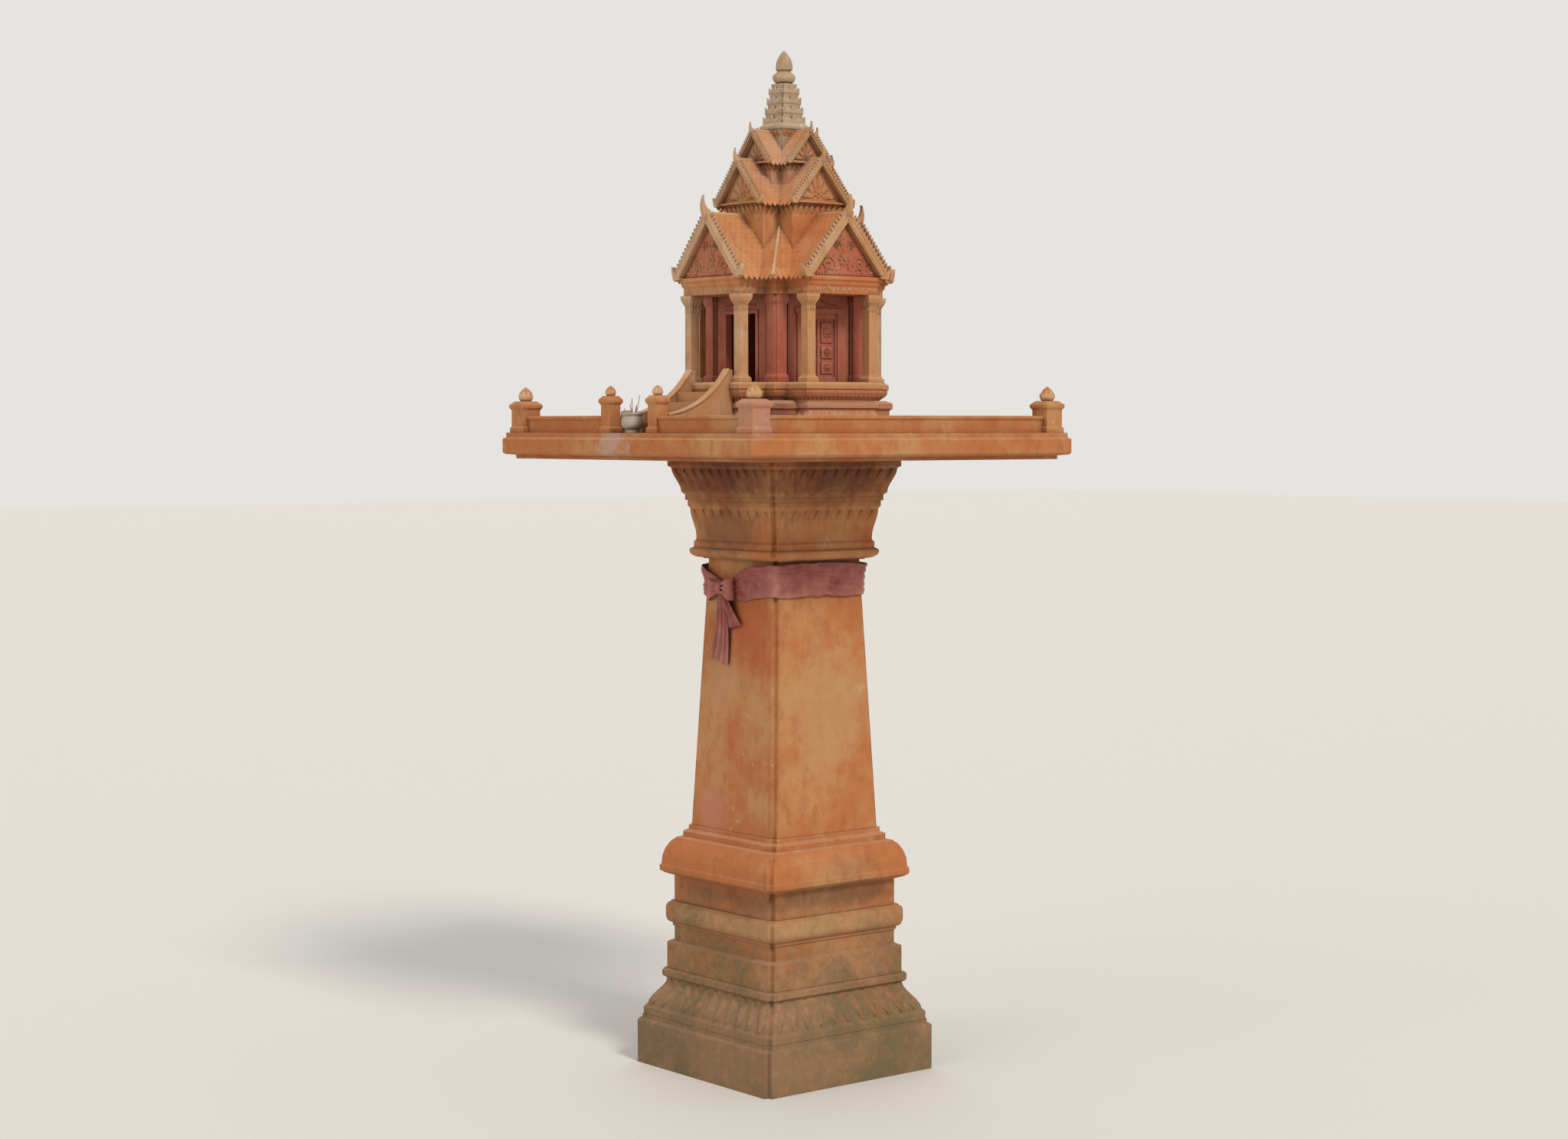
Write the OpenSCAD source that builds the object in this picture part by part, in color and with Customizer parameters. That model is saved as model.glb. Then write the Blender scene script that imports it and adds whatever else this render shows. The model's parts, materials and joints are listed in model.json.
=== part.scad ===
// Spirit house of cast concrete: a four-porch shrine on a square platform, carried by one tapered pedestal.
// The front is towards -Y, up is +Z, and the origin is on the ground under the middle of the pedestal.

/* [Pedestal] */
// Width of the bottom plinth
plinth_w = 480; // [440:10:560]
// Height of the bottom plinth
plinth_h = 110; // [60:10:140]
// Width of the moulded foot, over its main mouldings
foot_w = 400; // [360:10:430]
// Width of the shaft where it leaves the foot
shaft_low_w = 304; // [260:2:330]
// Width of the shaft under the neck ring
shaft_top_w = 248; // [200:2:256]
// Height of the shaft
shaft_h = 600; // [500:10:700]
// Width of the projecting ring at the neck
ring_w = 310; // [290:2:330]
// Width of the capital block
capital_w = 296; // [276:2:300]
// Width of the flared support right under the platform
support_w = 380; // [340:10:430]
// Size of the small square step that is cut out of every pedestal corner
corner_step = 11; // [6:1:16]

/* [Platform] */
// Side of the square platform
platform_w = 900; // [860:10:1000]
// Thickness of the platform's rim
platform_h = 58; // [45:1:75]
// Height of the low kerb round the platform
kerb_h = 37; // [28:1:50]
// Thickness of the kerb
kerb_t = 26; // [18:1:34]
// Width of a corner post
post_w = 52; // [40:1:60]
// Height of the posts, with their lotus buds
post_h = 102; // [85:1:120]
// Clear width of the gap in the front kerb
gate_w = 134; // [120:2:160]

/* [Shrine] */
// Distance from the middle of the shrine to a porch's columns
porch_out = 190; // [180:1:205]
// Distance between the two columns of a porch
porch_gap = 174; // [160:2:184]
// Width of a porch column
column_w = 22; // [18:1:28]
// Height of the columns, from floor to beam
column_h = 190; // [170:5:220]
// Outside width of the square body behind the porches
body_w = 260; // [250:2:280]
// Half width of the square block under the floor
base_half = 166; // [150:1:180]
// Width of a corner pier
pier_w = 44; // [36:1:52]
// Thickness of the body's walls
wall_t = 14; // [10:1:20]
// Clear width of the front doorway
door_w = 104; // [90:2:120]
// Clear height of the front doorway
door_h = 150; // [130:2:165]

/* [Roof] */
// Slope of all roof planes, in degrees
pitch = 50; // [45:1:54]
// Half width of a porch roof at its eaves
porch_roof_half = 114; // [112:1:120]
// Distance from the middle of the shrine to a porch roof's open end
porch_roof_out = 208; // [206:1:216]
// Half width of the square skirt roof over the body
skirt_half = 160; // [156:1:166]
// Thickness of the roof shell
shell_t = 14; // [10:1:18]
// Half width of the upper gables at their eaves
upper_half = 80; // [70:1:86]
// Distance from the middle of the shrine to an upper gable's end
upper_out = 126; // [116:1:136]
// Height of the upper eaves above the lower eaves
upper_rise = 162; // [154:1:176]
// Half width of the small top gables at their eaves
top_half = 60; // [54:1:64]
// Distance from the middle of the shrine to a top gable's end
top_out = 86; // [80:1:94]
// Height of the tip of the spire above the ridges of the top gables
spire_h = 182; // [160:2:210]

/* [Hidden] */
$fn = 48;

// Colours of the paint and of the other finishes
orange = [0.80, 0.42, 0.18];
pale_orange = [0.86, 0.56, 0.32];
deep_red = [0.62, 0.22, 0.14];
bare_cement = [0.72, 0.66, 0.60];
faded_cloth = [0.48, 0.22, 0.28];

// Heights above the ground, from the bottom up
lotus_z = plinth_h;
waist_z = lotus_z + 105;
band_z = waist_z + 97;
shaft_foot_z = band_z + 56;
shaft_z = shaft_foot_z + 172;
ring_z = shaft_z + shaft_h;
capital_z = ring_z + 25;
support_z = capital_z + 105;
platform_z = support_z + 92;
deck_z = platform_z + platform_h;
floor_slab_z = deck_z + 95;
floor_z = floor_slab_z + 15;
beam_z = floor_z + column_h;
eave_z = beam_z + 38;
upper_eave_z = eave_z + upper_rise;

// Half widths and reaches
foot_half = foot_w / 2;
waist_in = 8;
groove_in = 20;
shaft_low_half = shaft_low_w / 2;
shaft_top_half = shaft_top_w / 2;
body_half = body_w / 2;
porch_half = porch_gap / 2 + column_w / 2;
porch_end = porch_out + column_w / 2;
floor_edge = 12;
kerb_mid = platform_w / 2 - 38;
gate_post_w = 36;
gate_x = gate_w / 2 + gate_post_w / 2;
upper_ridge_z = upper_eave_z + upper_half * tan(pitch);
top_eave_z = upper_ridge_z - 6;
top_ridge_z = top_eave_z + top_half * tan(pitch);
shell_flat = shell_t / sin(pitch);
reach = 2 * platform_w;
touch = 0.01;
cloth_gap = 1;
cloth_t = 7;

// Outlines

// Points of an S-shaped moulding from one [grow, height] point to another
function ogee(from, to, steps = 6) = [for (i = [0:steps]) let (t = i / steps, s = t * t * (3 - 2 * t))
    [from[0] + (to[0] - from[0]) * s, from[1] + (to[1] - from[1]) * t]];

// Points of a quarter-round moulding that bulges outwards between two points
function round_out(from, to, steps = 5) = [for (i = [0:steps]) let (a = 90 * i / steps)
    [from[0] + (to[0] - from[0]) * sin(a), from[1] + (to[1] - from[1]) * (1 - cos(a))]];

// Points of a quarter-round moulding that rises first and then turns inwards
function round_in(from, to, steps = 5) = [for (i = [0:steps]) let (a = 90 * i / steps)
    [from[0] + (to[0] - from[0]) * (1 - cos(a)), from[1] + (to[1] - from[1]) * sin(a)]];

// Points of a curve that leaves a towards b and arrives at c
function bend(a, b, c, steps = 6) = [for (i = [0:steps]) let (t = i / steps)
    a * (1 - t) * (1 - t) + b * 2 * t * (1 - t) + c * t * t];

function lifted(outline, z) = [for (p = outline) [p[0], p[1] + z]];

// A bar along Y whose half width is half plus the outline's growth at each height
module bar(half, outline) {
    right = [for (p = outline) [half + p[0], p[1]]];
    left = [for (i = [len(outline) - 1:-1:0]) [-half - outline[i][0], outline[i][1]]];
    rotate([90, 0, 0]) linear_extrude(reach, center = true) polygon(concat(right, left));
}

// A rectangular block with the same moulding on all four sides
module block(half_x, half_y, outline) {
    intersection() {
        bar(half_x, outline);
        rotate([0, 0, 90]) bar(half_y, outline);
    }
}

// A square block with a small step cut out of each corner
module stepped(half, outline, step = corner_step) {
    union() {
        block(half, half - step, outline);
        block(half - step, half, outline);
    }
}

// The plan of the shrine: a square body with a porch on each side
module shrine_plan(outline) {
    union() {
        block(porch_half, porch_end, outline);
        block(porch_end, porch_half, outline);
        block(body_half, body_half, outline);
    }
}

module on_four_sides() {
    for (turn = [0:90:270]) rotate([0, 0, turn]) children();
}

// A gable roof along Y, with its eaves at the given height
module gable(half, eave, length) {
    rotate([90, 0, 0]) linear_extrude(2 * length, center = true)
        polygon([[-half, eave], [half, eave], [0, eave + half * tan(pitch)]]);
}

module cross_gable(half, eave, length) {
    union() {
        gable(half, eave, length);
        rotate([0, 0, 90]) gable(half, eave, length);
    }
}

module hip(half, eave) {
    intersection() {
        gable(half, eave, reach);
        rotate([0, 0, 90]) gable(half, eave, reach);
    }
}

// Pedestal

module plinth() color(orange) {
    stepped(plinth_w / 2, [[0, 0], [0, plinth_h - 14], [-8, plinth_h - 8], [-8, plinth_h]]);
}

module foot_lotus() color(orange) {
    top = waist_z - lotus_z;
    outline = concat([[30, 0], [30, 16]], ogee([24, 22], [-8, top - 22]),
        [[0, top - 16], [0, top - 4], [-4, top]]);
    stepped(foot_half, lifted(outline, lotus_z));
}

module foot_waist() color(orange) {
    top = band_z - waist_z;
    outline = [[-waist_in, 0], [-waist_in, top - 38], [-groove_in, top - 32], [-groove_in, top]];
    stepped(foot_half, lifted(outline, waist_z));
}

module foot_band() color(orange) {
    top = shaft_foot_z - band_z;
    outline = concat([[-17, 0], [-17, 6]], round_out([-15, 8], [-6, 24], 4), [[-6, top - 16]],
        round_in([-6, top - 14], [-12, top - 4], 4), [[-14, top]]);
    stepped(foot_half, lifted(outline, band_z));
}

module shaft_foot() color(orange) {
    top = shaft_z - shaft_foot_z;
    low = foot_half - shaft_low_half;
    outline = concat([[low - groove_in, 0], [low - groove_in, 58], [low - 4, 64], [low + 4, 70], [low + 4, 80]],
        round_in([low + 1, 84], [14, top - 26]), [[14, top - 14], [5, top - 9], [5, top]]);
    stepped(shaft_low_half, lifted(outline, shaft_foot_z));
}

module shaft() color(orange) {
    stepped(shaft_low_half, [[0, shaft_z], [shaft_top_half - shaft_low_half, ring_z]]);
}

module neck_ring() color(orange) {
    top = capital_z - ring_z;
    outline = concat([[-22, 0]], round_out([-22, 2], [0, top - 10]), [[0, top - 4], [-6, top]]);
    stepped(ring_w / 2, lifted(outline, ring_z));
}

module capital() color(orange) {
    top = support_z - capital_z;
    outline = concat([[0, 0], [0, 12], [-4, 18]], ogee([-4, 24], [6, top - 18]), [[10, top - 12], [10, top]]);
    stepped(capital_w / 2, lifted(outline, capital_z));
}

module platform_support() color(orange) {
    top = platform_z - support_z;
    low = capital_w / 2 - support_w / 2 + 14;
    outline = concat([[low, 0], [low, 12]], ogee([low + 6, 18], [-6, top - 20]), [[0, top - 16], [0, top]]);
    stepped(support_w / 2, lifted(outline, support_z));
}

// Half width of the shaft at a height above the ground
function shaft_half_at(z) = shaft_low_half + (shaft_top_half - shaft_low_half) * (z - shaft_z) / shaft_h;

sash_low_z = ring_z - 84;
sash_high_z = ring_z - 2;

// The cloth tied round the neck, as one closed band that is bulkier at its upper edge
module neck_sash() color(faded_cloth) {
    inside = [for (z = [sash_low_z, sash_high_z]) [shaft_half_at(z) - shaft_low_half + cloth_gap, z]];
    outside = [[inside[0][0] + cloth_t, sash_low_z], [inside[1][0] + 2 * cloth_t, sash_high_z]];
    cutter = [for (z = [shaft_z, ring_z]) [shaft_half_at(z) - shaft_low_half + cloth_gap, z]];
    difference() {
        stepped(shaft_low_half, outside, 6);
        stepped(shaft_low_half, cutter, 6);
    }
}

knot_x = -40;
knot_z = sash_low_z + 22;
knot_y = -shaft_half_at(knot_z) - cloth_gap - cloth_t;

// The knot and the two hanging ends of the cloth, in front of the band
module sash_knot() color(faded_cloth) {
    tail_top_y = knot_y - 3;
    tail_low_z = sash_low_z - 120;
    tail_low_y = -shaft_half_at(tail_low_z) - cloth_gap;
    translate([knot_x, 0, 0]) union() {
        for (side = [-1, 1]) hull() {
            translate([0, knot_y - 14, knot_z]) sphere(12, $fn = 20);
            translate([side * 26, knot_y - 13, knot_z + 6]) sphere(11, $fn = 20);
        }
        for (side = [-1, 1]) hull() {
            translate([side * 4, tail_top_y - 8, knot_z - 8]) cube([14, 8, 8], center = true);
            translate([side * 14, tail_low_y - 12, tail_low_z + 20 + side * 14]) cube([24, 6, 8], center = true);
        }
    }
}

// Platform

module platform() color(orange) {
    outline = [[-22, 0], [-22, 8], [-4, 10], [0, 14], [0, platform_h - 14], [-6, platform_h - 10],
        [-6, platform_h]];
    block(platform_w / 2, platform_w / 2, lifted(outline, platform_z));
}

// A straight kerb along X between the middles of two posts, on the front side, cut back to the posts
module kerb(from, to, from_w, to_w) {
    half = kerb_t / 2;
    side = [[half - 3, 0], [half - 3, kerb_h - 10], [half, kerb_h - 7], [half, kerb_h - 2], [half - 2, kerb_h],
        [-half + 2, kerb_h], [-half, kerb_h - 2], [-half, kerb_h - 7], [-half + 3, kerb_h - 10], [-half + 3, 0]];
    difference() {
        translate([from, -kerb_mid, deck_z]) rotate([90, 0, 90]) linear_extrude(to - from) polygon(side);
        translate([from, -kerb_mid, deck_z]) post(from_w);
        translate([to, -kerb_mid, deck_z]) post(to_w);
    }
}

module front_kerbs() color(orange) {
    kerb(-kerb_mid, -gate_x, post_w, gate_post_w);
    kerb(gate_x, kerb_mid, gate_post_w, post_w);
}

module side_kerb() {
    kerb(-kerb_mid, kerb_mid, post_w, post_w);
}

module back_kerb() color(orange) rotate([0, 0, 180]) side_kerb();

module left_kerb() color(orange) rotate([0, 0, -90]) side_kerb();

module right_kerb() color(orange) rotate([0, 0, 90]) side_kerb();

// A square post with a lotus bud on top, standing on the deck
module post(width) {
    bud_r = width * 0.30;
    bud_h = width * 0.62;
    body_h = post_h - bud_h;
    outline = [[0, 0], [0, 10], [-3, 14], [-3, body_h - 20], [1, body_h - 14], [1, body_h - 8],
        [-width * 0.16, body_h]];
    union() {
        block(width / 2, width / 2, outline);
        translate([0, 0, body_h - touch]) rotate_extrude()
            polygon(concat([[0, 0]], bend([bud_r * 0.7, 0], [bud_r * 1.5, bud_h * 0.42], [0, bud_h], 8)));
    }
}

module corner_posts() color(pale_orange) {
    for (x = [-kerb_mid, kerb_mid], y = [-kerb_mid, kerb_mid]) translate([x, y, deck_z]) post(post_w);
}

module gate_posts() color(pale_orange) {
    for (side = [-1, 1]) translate([side * gate_x, -kerb_mid, deck_z]) post(gate_post_w);
}

// A small pot filled with sand, in the gap of the front kerb
module incense_pot() color(bare_cement) {
    pot_h = 44;
    translate([0, -kerb_mid - 4, deck_z]) rotate_extrude()
        polygon(concat([[0, 0], [15, 0], [15, 5]], bend([13, 7], [30, 14], [21, pot_h - 8]),
            [[25, pot_h - 4], [25, pot_h], [20, pot_h], [20, pot_h - 4], [0, pot_h - 4]]));
}

// Shrine base

module shrine_base() color(orange) {
    top = floor_slab_z - deck_z;
    outline = concat([[18, 0], [18, 12]], ogee([15, 16], [-2, 50]), [[3, 54], [3, 62], [-3, 66]],
        ogee([-3, 70], [8, top - 12]), [[10, top - 8], [10, top]]);
    square_block = [[6, 0], [6, 12], [0, 18], [0, 48], [5, 53], [5, 64], [-6, 70]];
    union() {
        shrine_plan(lifted(outline, deck_z));
        block(base_half, base_half, lifted(square_block, deck_z));
    }
}

module porch_floor() color(pale_orange) {
    outline = [[floor_edge, 0], [floor_edge, 10], [floor_edge - 5, floor_z - floor_slab_z]];
    shrine_plan(lifted(outline, floor_slab_z));
}

stair_w = 116;
stair_wall_t = 16;
stair_top_y = porch_end + floor_edge;
stair_foot_y = kerb_mid - gate_post_w / 2 - 12;
stair_steps = 5;

// The side view of the stair, as [distance from the middle, height] points
module front_steps() color(pale_orange) {
    rise = (floor_z - deck_z) / stair_steps;
    run = (stair_foot_y - stair_top_y) / (stair_steps - 1);
    treads = [for (i = [0:stair_steps - 2], corner = [0, 1])
        [stair_foot_y - run * i, deck_z + rise * (i + corner)]];
    difference() {
        rotate([90, 0, -90]) linear_extrude(stair_w, center = true)
            polygon(concat(treads, [[porch_end, deck_z + rise * (stair_steps - 1)], [porch_end, deck_z]]));
        shrine_base();
        porch_floor();
    }
}

module stair_walls() color(pale_orange) {
    foot = stair_foot_y + 8;
    crest = bend([foot, deck_z + 34], [stair_top_y + 60, deck_z + 44], [stair_top_y - 2, floor_z + 26], 8);
    for (side = [-1, 1]) difference() {
        translate([side * (stair_w + stair_wall_t) / 2, 0, 0]) rotate([90, 0, -90])
            linear_extrude(stair_wall_t, center = true)
            polygon(concat([[foot, deck_z]], crest, [[porch_end + 2, floor_z + 26], [porch_end + 2, deck_z]]));
        shrine_base();
        porch_floor();
    }
}

// Body of the shrine

module column() {
    outline = concat([[5, 0], [5, 8], [1, 13], [0, 18], [0, column_h - 30]],
        ogee([0, column_h - 26], [6, column_h - 10]), [[7, column_h - 8], [7, column_h]]);
    block(column_w / 2, column_w / 2, lifted(outline, floor_z));
}

module porch_pair() {
    for (side = [-1, 1]) translate([side * porch_gap / 2, -porch_out, 0]) column();
}

module front_columns() color(pale_orange) porch_pair();

module back_columns() color(pale_orange) rotate([0, 0, 180]) porch_pair();

module left_columns() color(pale_orange) rotate([0, 0, -90]) porch_pair();

module right_columns() color(pale_orange) rotate([0, 0, 90]) porch_pair();

pier_mid = body_half - pier_w / 2;

module corner_piers() color(deep_red) {
    outline = [[4, 0], [4, 12], [0, 18], [0, column_h - 22], [4, column_h - 14], [4, column_h]];
    for (x = [-pier_mid, pier_mid], y = [-pier_mid, pier_mid])
        translate([x, y, 0]) stepped(pier_w / 2 - 4, lifted(outline, floor_z), 5);
}

wall_half = body_half - pier_w;
wall_out = body_half - 10;

// A wall between two piers, from one place along X to another and between two heights
module wall_panel(from, to, low, high) {
    translate([from, -wall_out, low]) cube([to - from, wall_t, high - low]);
}

// A closed wall with the raised frame of a double door on its outside
module blind_wall() {
    frame_t = 4;
    leaf_w = door_w / 2 - 8;
    difference() {
        wall_panel(-wall_half, wall_half, floor_z, beam_z);
        for (side = [-1, 1]) translate([side * (leaf_w + 6) / 2, -wall_out, floor_z + door_h / 2])
            cube([leaf_w, frame_t * 2, door_h - 24], center = true);
    }
    for (side = [-1, 1]) translate([side * (door_w / 2 + 5), -wall_out - frame_t / 2, floor_z + door_h / 2])
        cube([10, frame_t, door_h], center = true);
    translate([0, -wall_out - frame_t / 2, floor_z + door_h + 6]) cube([door_w + 32, frame_t, 12], center = true);
}

module doorway_jambs() color(deep_red) {
    wall_panel(-wall_half, -door_w / 2, floor_z, beam_z);
    wall_panel(door_w / 2, wall_half, floor_z, beam_z);
}

module doorway_head() color(deep_red) wall_panel(-door_w / 2, door_w / 2, floor_z + door_h, beam_z);

module back_wall() color(deep_red) rotate([0, 0, 180]) blind_wall();

module left_wall() color(deep_red) rotate([0, 0, -90]) blind_wall();

module right_wall() color(deep_red) rotate([0, 0, 90]) blind_wall();

module entablature() color(orange) {
    top = eave_z - beam_z;
    shrine_plan(lifted([[2, 0], [2, 16], [5, 20], [6, 26], [10, 31], [10, top]], beam_z));
}

// Roof

module lower_roof_volume() {
    union() {
        cross_gable(porch_roof_half, eave_z, porch_roof_out);
        hip(skirt_half, eave_z);
    }
}

module lower_roof() color(orange) {
    difference() {
        lower_roof_volume();
        cross_gable(porch_roof_half - shell_flat, eave_z, porch_roof_out + touch);
        hip(skirt_half - shell_flat, eave_z);
    }
}

pediment_t = 12;
pediment_in = 3;

module porch_pediments() color(deep_red) {
    half = porch_roof_half - shell_flat;
    on_four_sides() translate([0, pediment_in + pediment_t - porch_roof_out, 0])
        rotate([90, 0, 0]) linear_extrude(pediment_t)
        polygon([[-half, eave_z], [half, eave_z], [0, eave_z + half * tan(pitch)]]);
}

// One end of a gable: two sloping boards, upturned ends and the horn on the ridge.
// half is the roof's half width, size scales the ornament.
module bargeboard(half, eave, size) {
    board_t = 12 * size;
    depth = 20 * size;
    ridge = eave + half * tan(pitch);
    lift = 6 * size;
    for (side = [-1, 1]) mirror([side < 0 ? 1 : 0, 0, 0]) rotate([90, 0, 0]) linear_extrude(board_t) union() {
        polygon([[0, ridge + lift / cos(pitch)], [half + lift, eave + lift * 0.2], [half - 2, eave - lift],
            [half - depth, eave + lift * 0.6], [0, ridge - depth]]);
        polygon(concat(
            bend([half - 20 * size, eave - 2 * size], [half + 10 * size, eave - 12 * size],
                [half + 9 * size, eave + 26 * size]),
            bend([half + 7 * size, eave + 20 * size], [half, eave + 8 * size],
                [half - 10 * size, eave + 14 * size])));
    }
    rotate([90, 0, 90]) linear_extrude(9 * size, center = true)
        polygon(concat(
            [[0, ridge - 8 * size], [-board_t, ridge - 16 * size]],
            bend([-board_t - 1 * size, ridge - 10 * size], [-board_t - 19 * size, ridge + 10 * size],
                [-board_t - 5 * size, ridge + 40 * size]),
            bend([-board_t - 6 * size, ridge + 34 * size], [-board_t - 4 * size, ridge + 12 * size],
                [0, ridge + 9 * size])));
}

module porch_bargeboard() {
    translate([0, -porch_roof_out, 0]) bargeboard(porch_roof_half, eave_z, 1);
}

module front_bargeboard() color(pale_orange) porch_bargeboard();

module back_bargeboard() color(pale_orange) rotate([0, 0, 180]) porch_bargeboard();

module left_bargeboard() color(pale_orange) rotate([0, 0, -90]) porch_bargeboard();

module right_bargeboard() color(pale_orange) rotate([0, 0, 90]) porch_bargeboard();

eave_overhang = 12;
gable_recess = 9;
recess_edge = 14;

// A cross-shaped neck that carries a cross of gables
module tier_volume(half, eave, out, from_z) {
    wall = half - eave_overhang;
    arm = out - eave_overhang;
    union() {
        block(wall, arm, [[0, from_z], [0, eave]]);
        block(arm, wall, [[0, from_z], [0, eave]]);
        cross_gable(half, eave, out);
    }
}

// The same tier with a sunken triangle in each gable
module tier(half, eave, out, from_z) {
    inner = half - recess_edge;
    difference() {
        tier_volume(half, eave, out, from_z);
        on_four_sides() translate([0, -out, 0]) rotate([90, 0, 0]) linear_extrude(2 * gable_recess, center = true)
            polygon([[-inner, eave + 4], [inner, eave + 4], [0, eave + 4 + inner * tan(pitch)]]);
    }
}

module upper_roof() color(orange) {
    difference() {
        tier(upper_half, upper_eave_z, upper_out, eave_z);
        lower_roof_volume();
    }
}

module top_roof() color(orange) {
    difference() {
        tier(top_half, top_eave_z, top_out, upper_eave_z);
        tier_volume(upper_half, upper_eave_z, upper_out, eave_z);
    }
}

module upper_bargeboards() color(pale_orange) {
    on_four_sides() {
        translate([0, -upper_out, 0]) bargeboard(upper_half, upper_eave_z, 0.66);
        translate([0, -top_out, 0]) bargeboard(top_half, top_eave_z, 0.5);
    }
}

spire_foot_z = top_ridge_z - 56;
spire_top_z = top_ridge_z + 108;
spire_half = 38;
spire_tiers = 4;
tier_in = 3;

module spire() color(pale_orange) {
    collar_z = top_ridge_z + 20;
    tier_h = (spire_top_z - collar_z) / spire_tiers;
    collar = [[0, spire_foot_z], [0, collar_z - 16], [3, collar_z - 12], [3, collar_z - 6], [-3, collar_z]];
    tiers = [for (i = [0:spire_tiers - 1], p = [[-3, 0], [-3, 7], [-8, 12], [-7, tier_h]])
        [p[0] - i * tier_in, collar_z + i * tier_h + p[1]]];
    difference() {
        stepped(spire_half, concat(collar, tiers), 4);
        tier_volume(top_half, top_eave_z, top_out, upper_eave_z);
    }
}

module finial() color(pale_orange) {
    tip = top_ridge_z + spire_h - spire_top_z;
    translate([0, 0, spire_top_z]) rotate_extrude()
        polygon(concat([[0, 0]], bend([15, 0], [34, tip * 0.18], [14, tip * 0.38]),
            bend([18, tip * 0.42], [20, tip * 0.70], [4, tip * 0.96]), [[0, tip]]));
}

plinth();
foot_lotus();
foot_waist();
foot_band();
shaft_foot();
shaft();
neck_ring();
capital();
platform_support();
neck_sash();
sash_knot();
platform();
front_kerbs();
back_kerb();
left_kerb();
right_kerb();
corner_posts();
gate_posts();
incense_pot();
shrine_base();
porch_floor();
front_steps();
stair_walls();
front_columns();
back_columns();
left_columns();
right_columns();
corner_piers();
doorway_jambs();
doorway_head();
back_wall();
left_wall();
right_wall();
entablature();
lower_roof();
porch_pediments();
front_bargeboard();
back_bargeboard();
left_bargeboard();
right_bargeboard();
upper_roof();
top_roof();
upper_bargeboards();
spire();
finial();
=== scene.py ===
# %% [markdown]
# Spirit house of painted concrete
#
# The real object is a small four-porch shrine, cast in cement and painted orange, on a square platform and one
# tapered pedestal. Its plain masonry comes packed from CAD. This lesson dresses that frame in Blender: it adds the
# cast ornament, the roof tiles and the cloth round the neck, and paints everything as weathered masonry.

import json
from math import atan, atan2, ceil, copysign, cos, degrees, exp, pi, radians, sin, sqrt, tan, tau

import bmesh
import bpy
from mathutils import Matrix, Vector
from mathutils.noise import noise


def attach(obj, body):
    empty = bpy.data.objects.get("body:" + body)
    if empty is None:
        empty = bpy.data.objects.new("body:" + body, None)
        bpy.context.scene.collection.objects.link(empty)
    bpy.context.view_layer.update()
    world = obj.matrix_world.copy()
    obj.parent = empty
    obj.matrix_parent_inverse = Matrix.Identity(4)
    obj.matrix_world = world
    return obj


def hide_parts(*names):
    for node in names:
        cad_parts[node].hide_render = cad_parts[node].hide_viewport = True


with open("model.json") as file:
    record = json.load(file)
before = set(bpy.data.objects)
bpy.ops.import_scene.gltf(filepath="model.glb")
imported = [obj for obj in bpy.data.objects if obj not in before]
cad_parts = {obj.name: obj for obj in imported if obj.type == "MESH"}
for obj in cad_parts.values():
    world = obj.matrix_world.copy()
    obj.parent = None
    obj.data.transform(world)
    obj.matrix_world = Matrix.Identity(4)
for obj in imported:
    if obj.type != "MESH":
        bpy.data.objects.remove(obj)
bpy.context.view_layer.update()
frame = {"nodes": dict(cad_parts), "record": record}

# %% [markdown]
# Camera
#
# The photograph looks at one corner of the shrine from about six metres, at the height of a standing person's
# chest. The same place is used here, so the perspective on the mouldings is right. A longer lens aimed at the
# object fills the picture with it.

# %% Place the camera
scene = bpy.context.scene
scene.view_settings.view_transform = "Standard"
CAMERA_AZIMUTH = radians(50.9)
CAMERA_DISTANCE = 6.21
CAMERA_LENS = 64.0
EYE_HEIGHT = 1.438
AIM_HEIGHT = 1.115


def put(name, data):
    """Makes an object of the data and puts it in the scene."""
    made = bpy.data.objects.new(name, data)
    scene.collection.objects.link(made)
    return made


camera_data = bpy.data.cameras.new("camera")
camera_data.lens = CAMERA_LENS
camera = put("camera", camera_data)
camera.location = (sin(CAMERA_AZIMUTH) * CAMERA_DISTANCE,
                   -cos(CAMERA_AZIMUTH) * CAMERA_DISTANCE, EYE_HEIGHT)
camera.rotation_euler = (Vector((0, 0, AIM_HEIGHT)) - camera.location).to_track_quat("-Z", "Y").to_euler()
scene.camera = camera
print("camera at", [round(value, 2) for value in camera.location])

# %% [markdown]
# Colours and nodes
#
# Paint colours are easiest to choose as the hex values of a screen. Blender's shaders work in linear light, so one
# function turns hex into linear. A second function adds a shader node with its settings and its links. Sockets go by
# name or by number. A Map Range takes its value at 0 and turns the range at 1 and 2 into the one at 3 and 4. A Mix of
# colours takes its mask at 0 and the colours at 6 and 7, and gives the result at its output 2.

# %% Colour and node helpers
def linear(hex_colour):
    channels = [int(hex_colour[i:i + 2], 16) / 255 for i in (1, 3, 5)]
    return tuple(c / 12.92 if c <= 0.04045 else ((c + 0.055) / 1.055) ** 2.4 for c in channels) + (1.0,)


def add(tree, kind, inputs=None, **settings):
    """Adds a node. inputs maps a socket to a value, to an output, or to a node, for the first output of that."""
    node = tree.nodes.new("ShaderNode" + kind)
    for name, value in settings.items():
        setattr(node, name, value)
    for key, value in (inputs or {}).items():
        if isinstance(value, bpy.types.Node):
            value = value.outputs[0]
        if isinstance(value, bpy.types.NodeSocket):
            tree.links.new(value, node.inputs[key])
        else:
            node.inputs[key].default_value = value
    return node


def blank(name):
    """A new material and its Principled shader."""
    material = bpy.data.materials.new(name)
    material.use_nodes = True
    return material, material.node_tree.nodes["Principled BSDF"]


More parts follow.
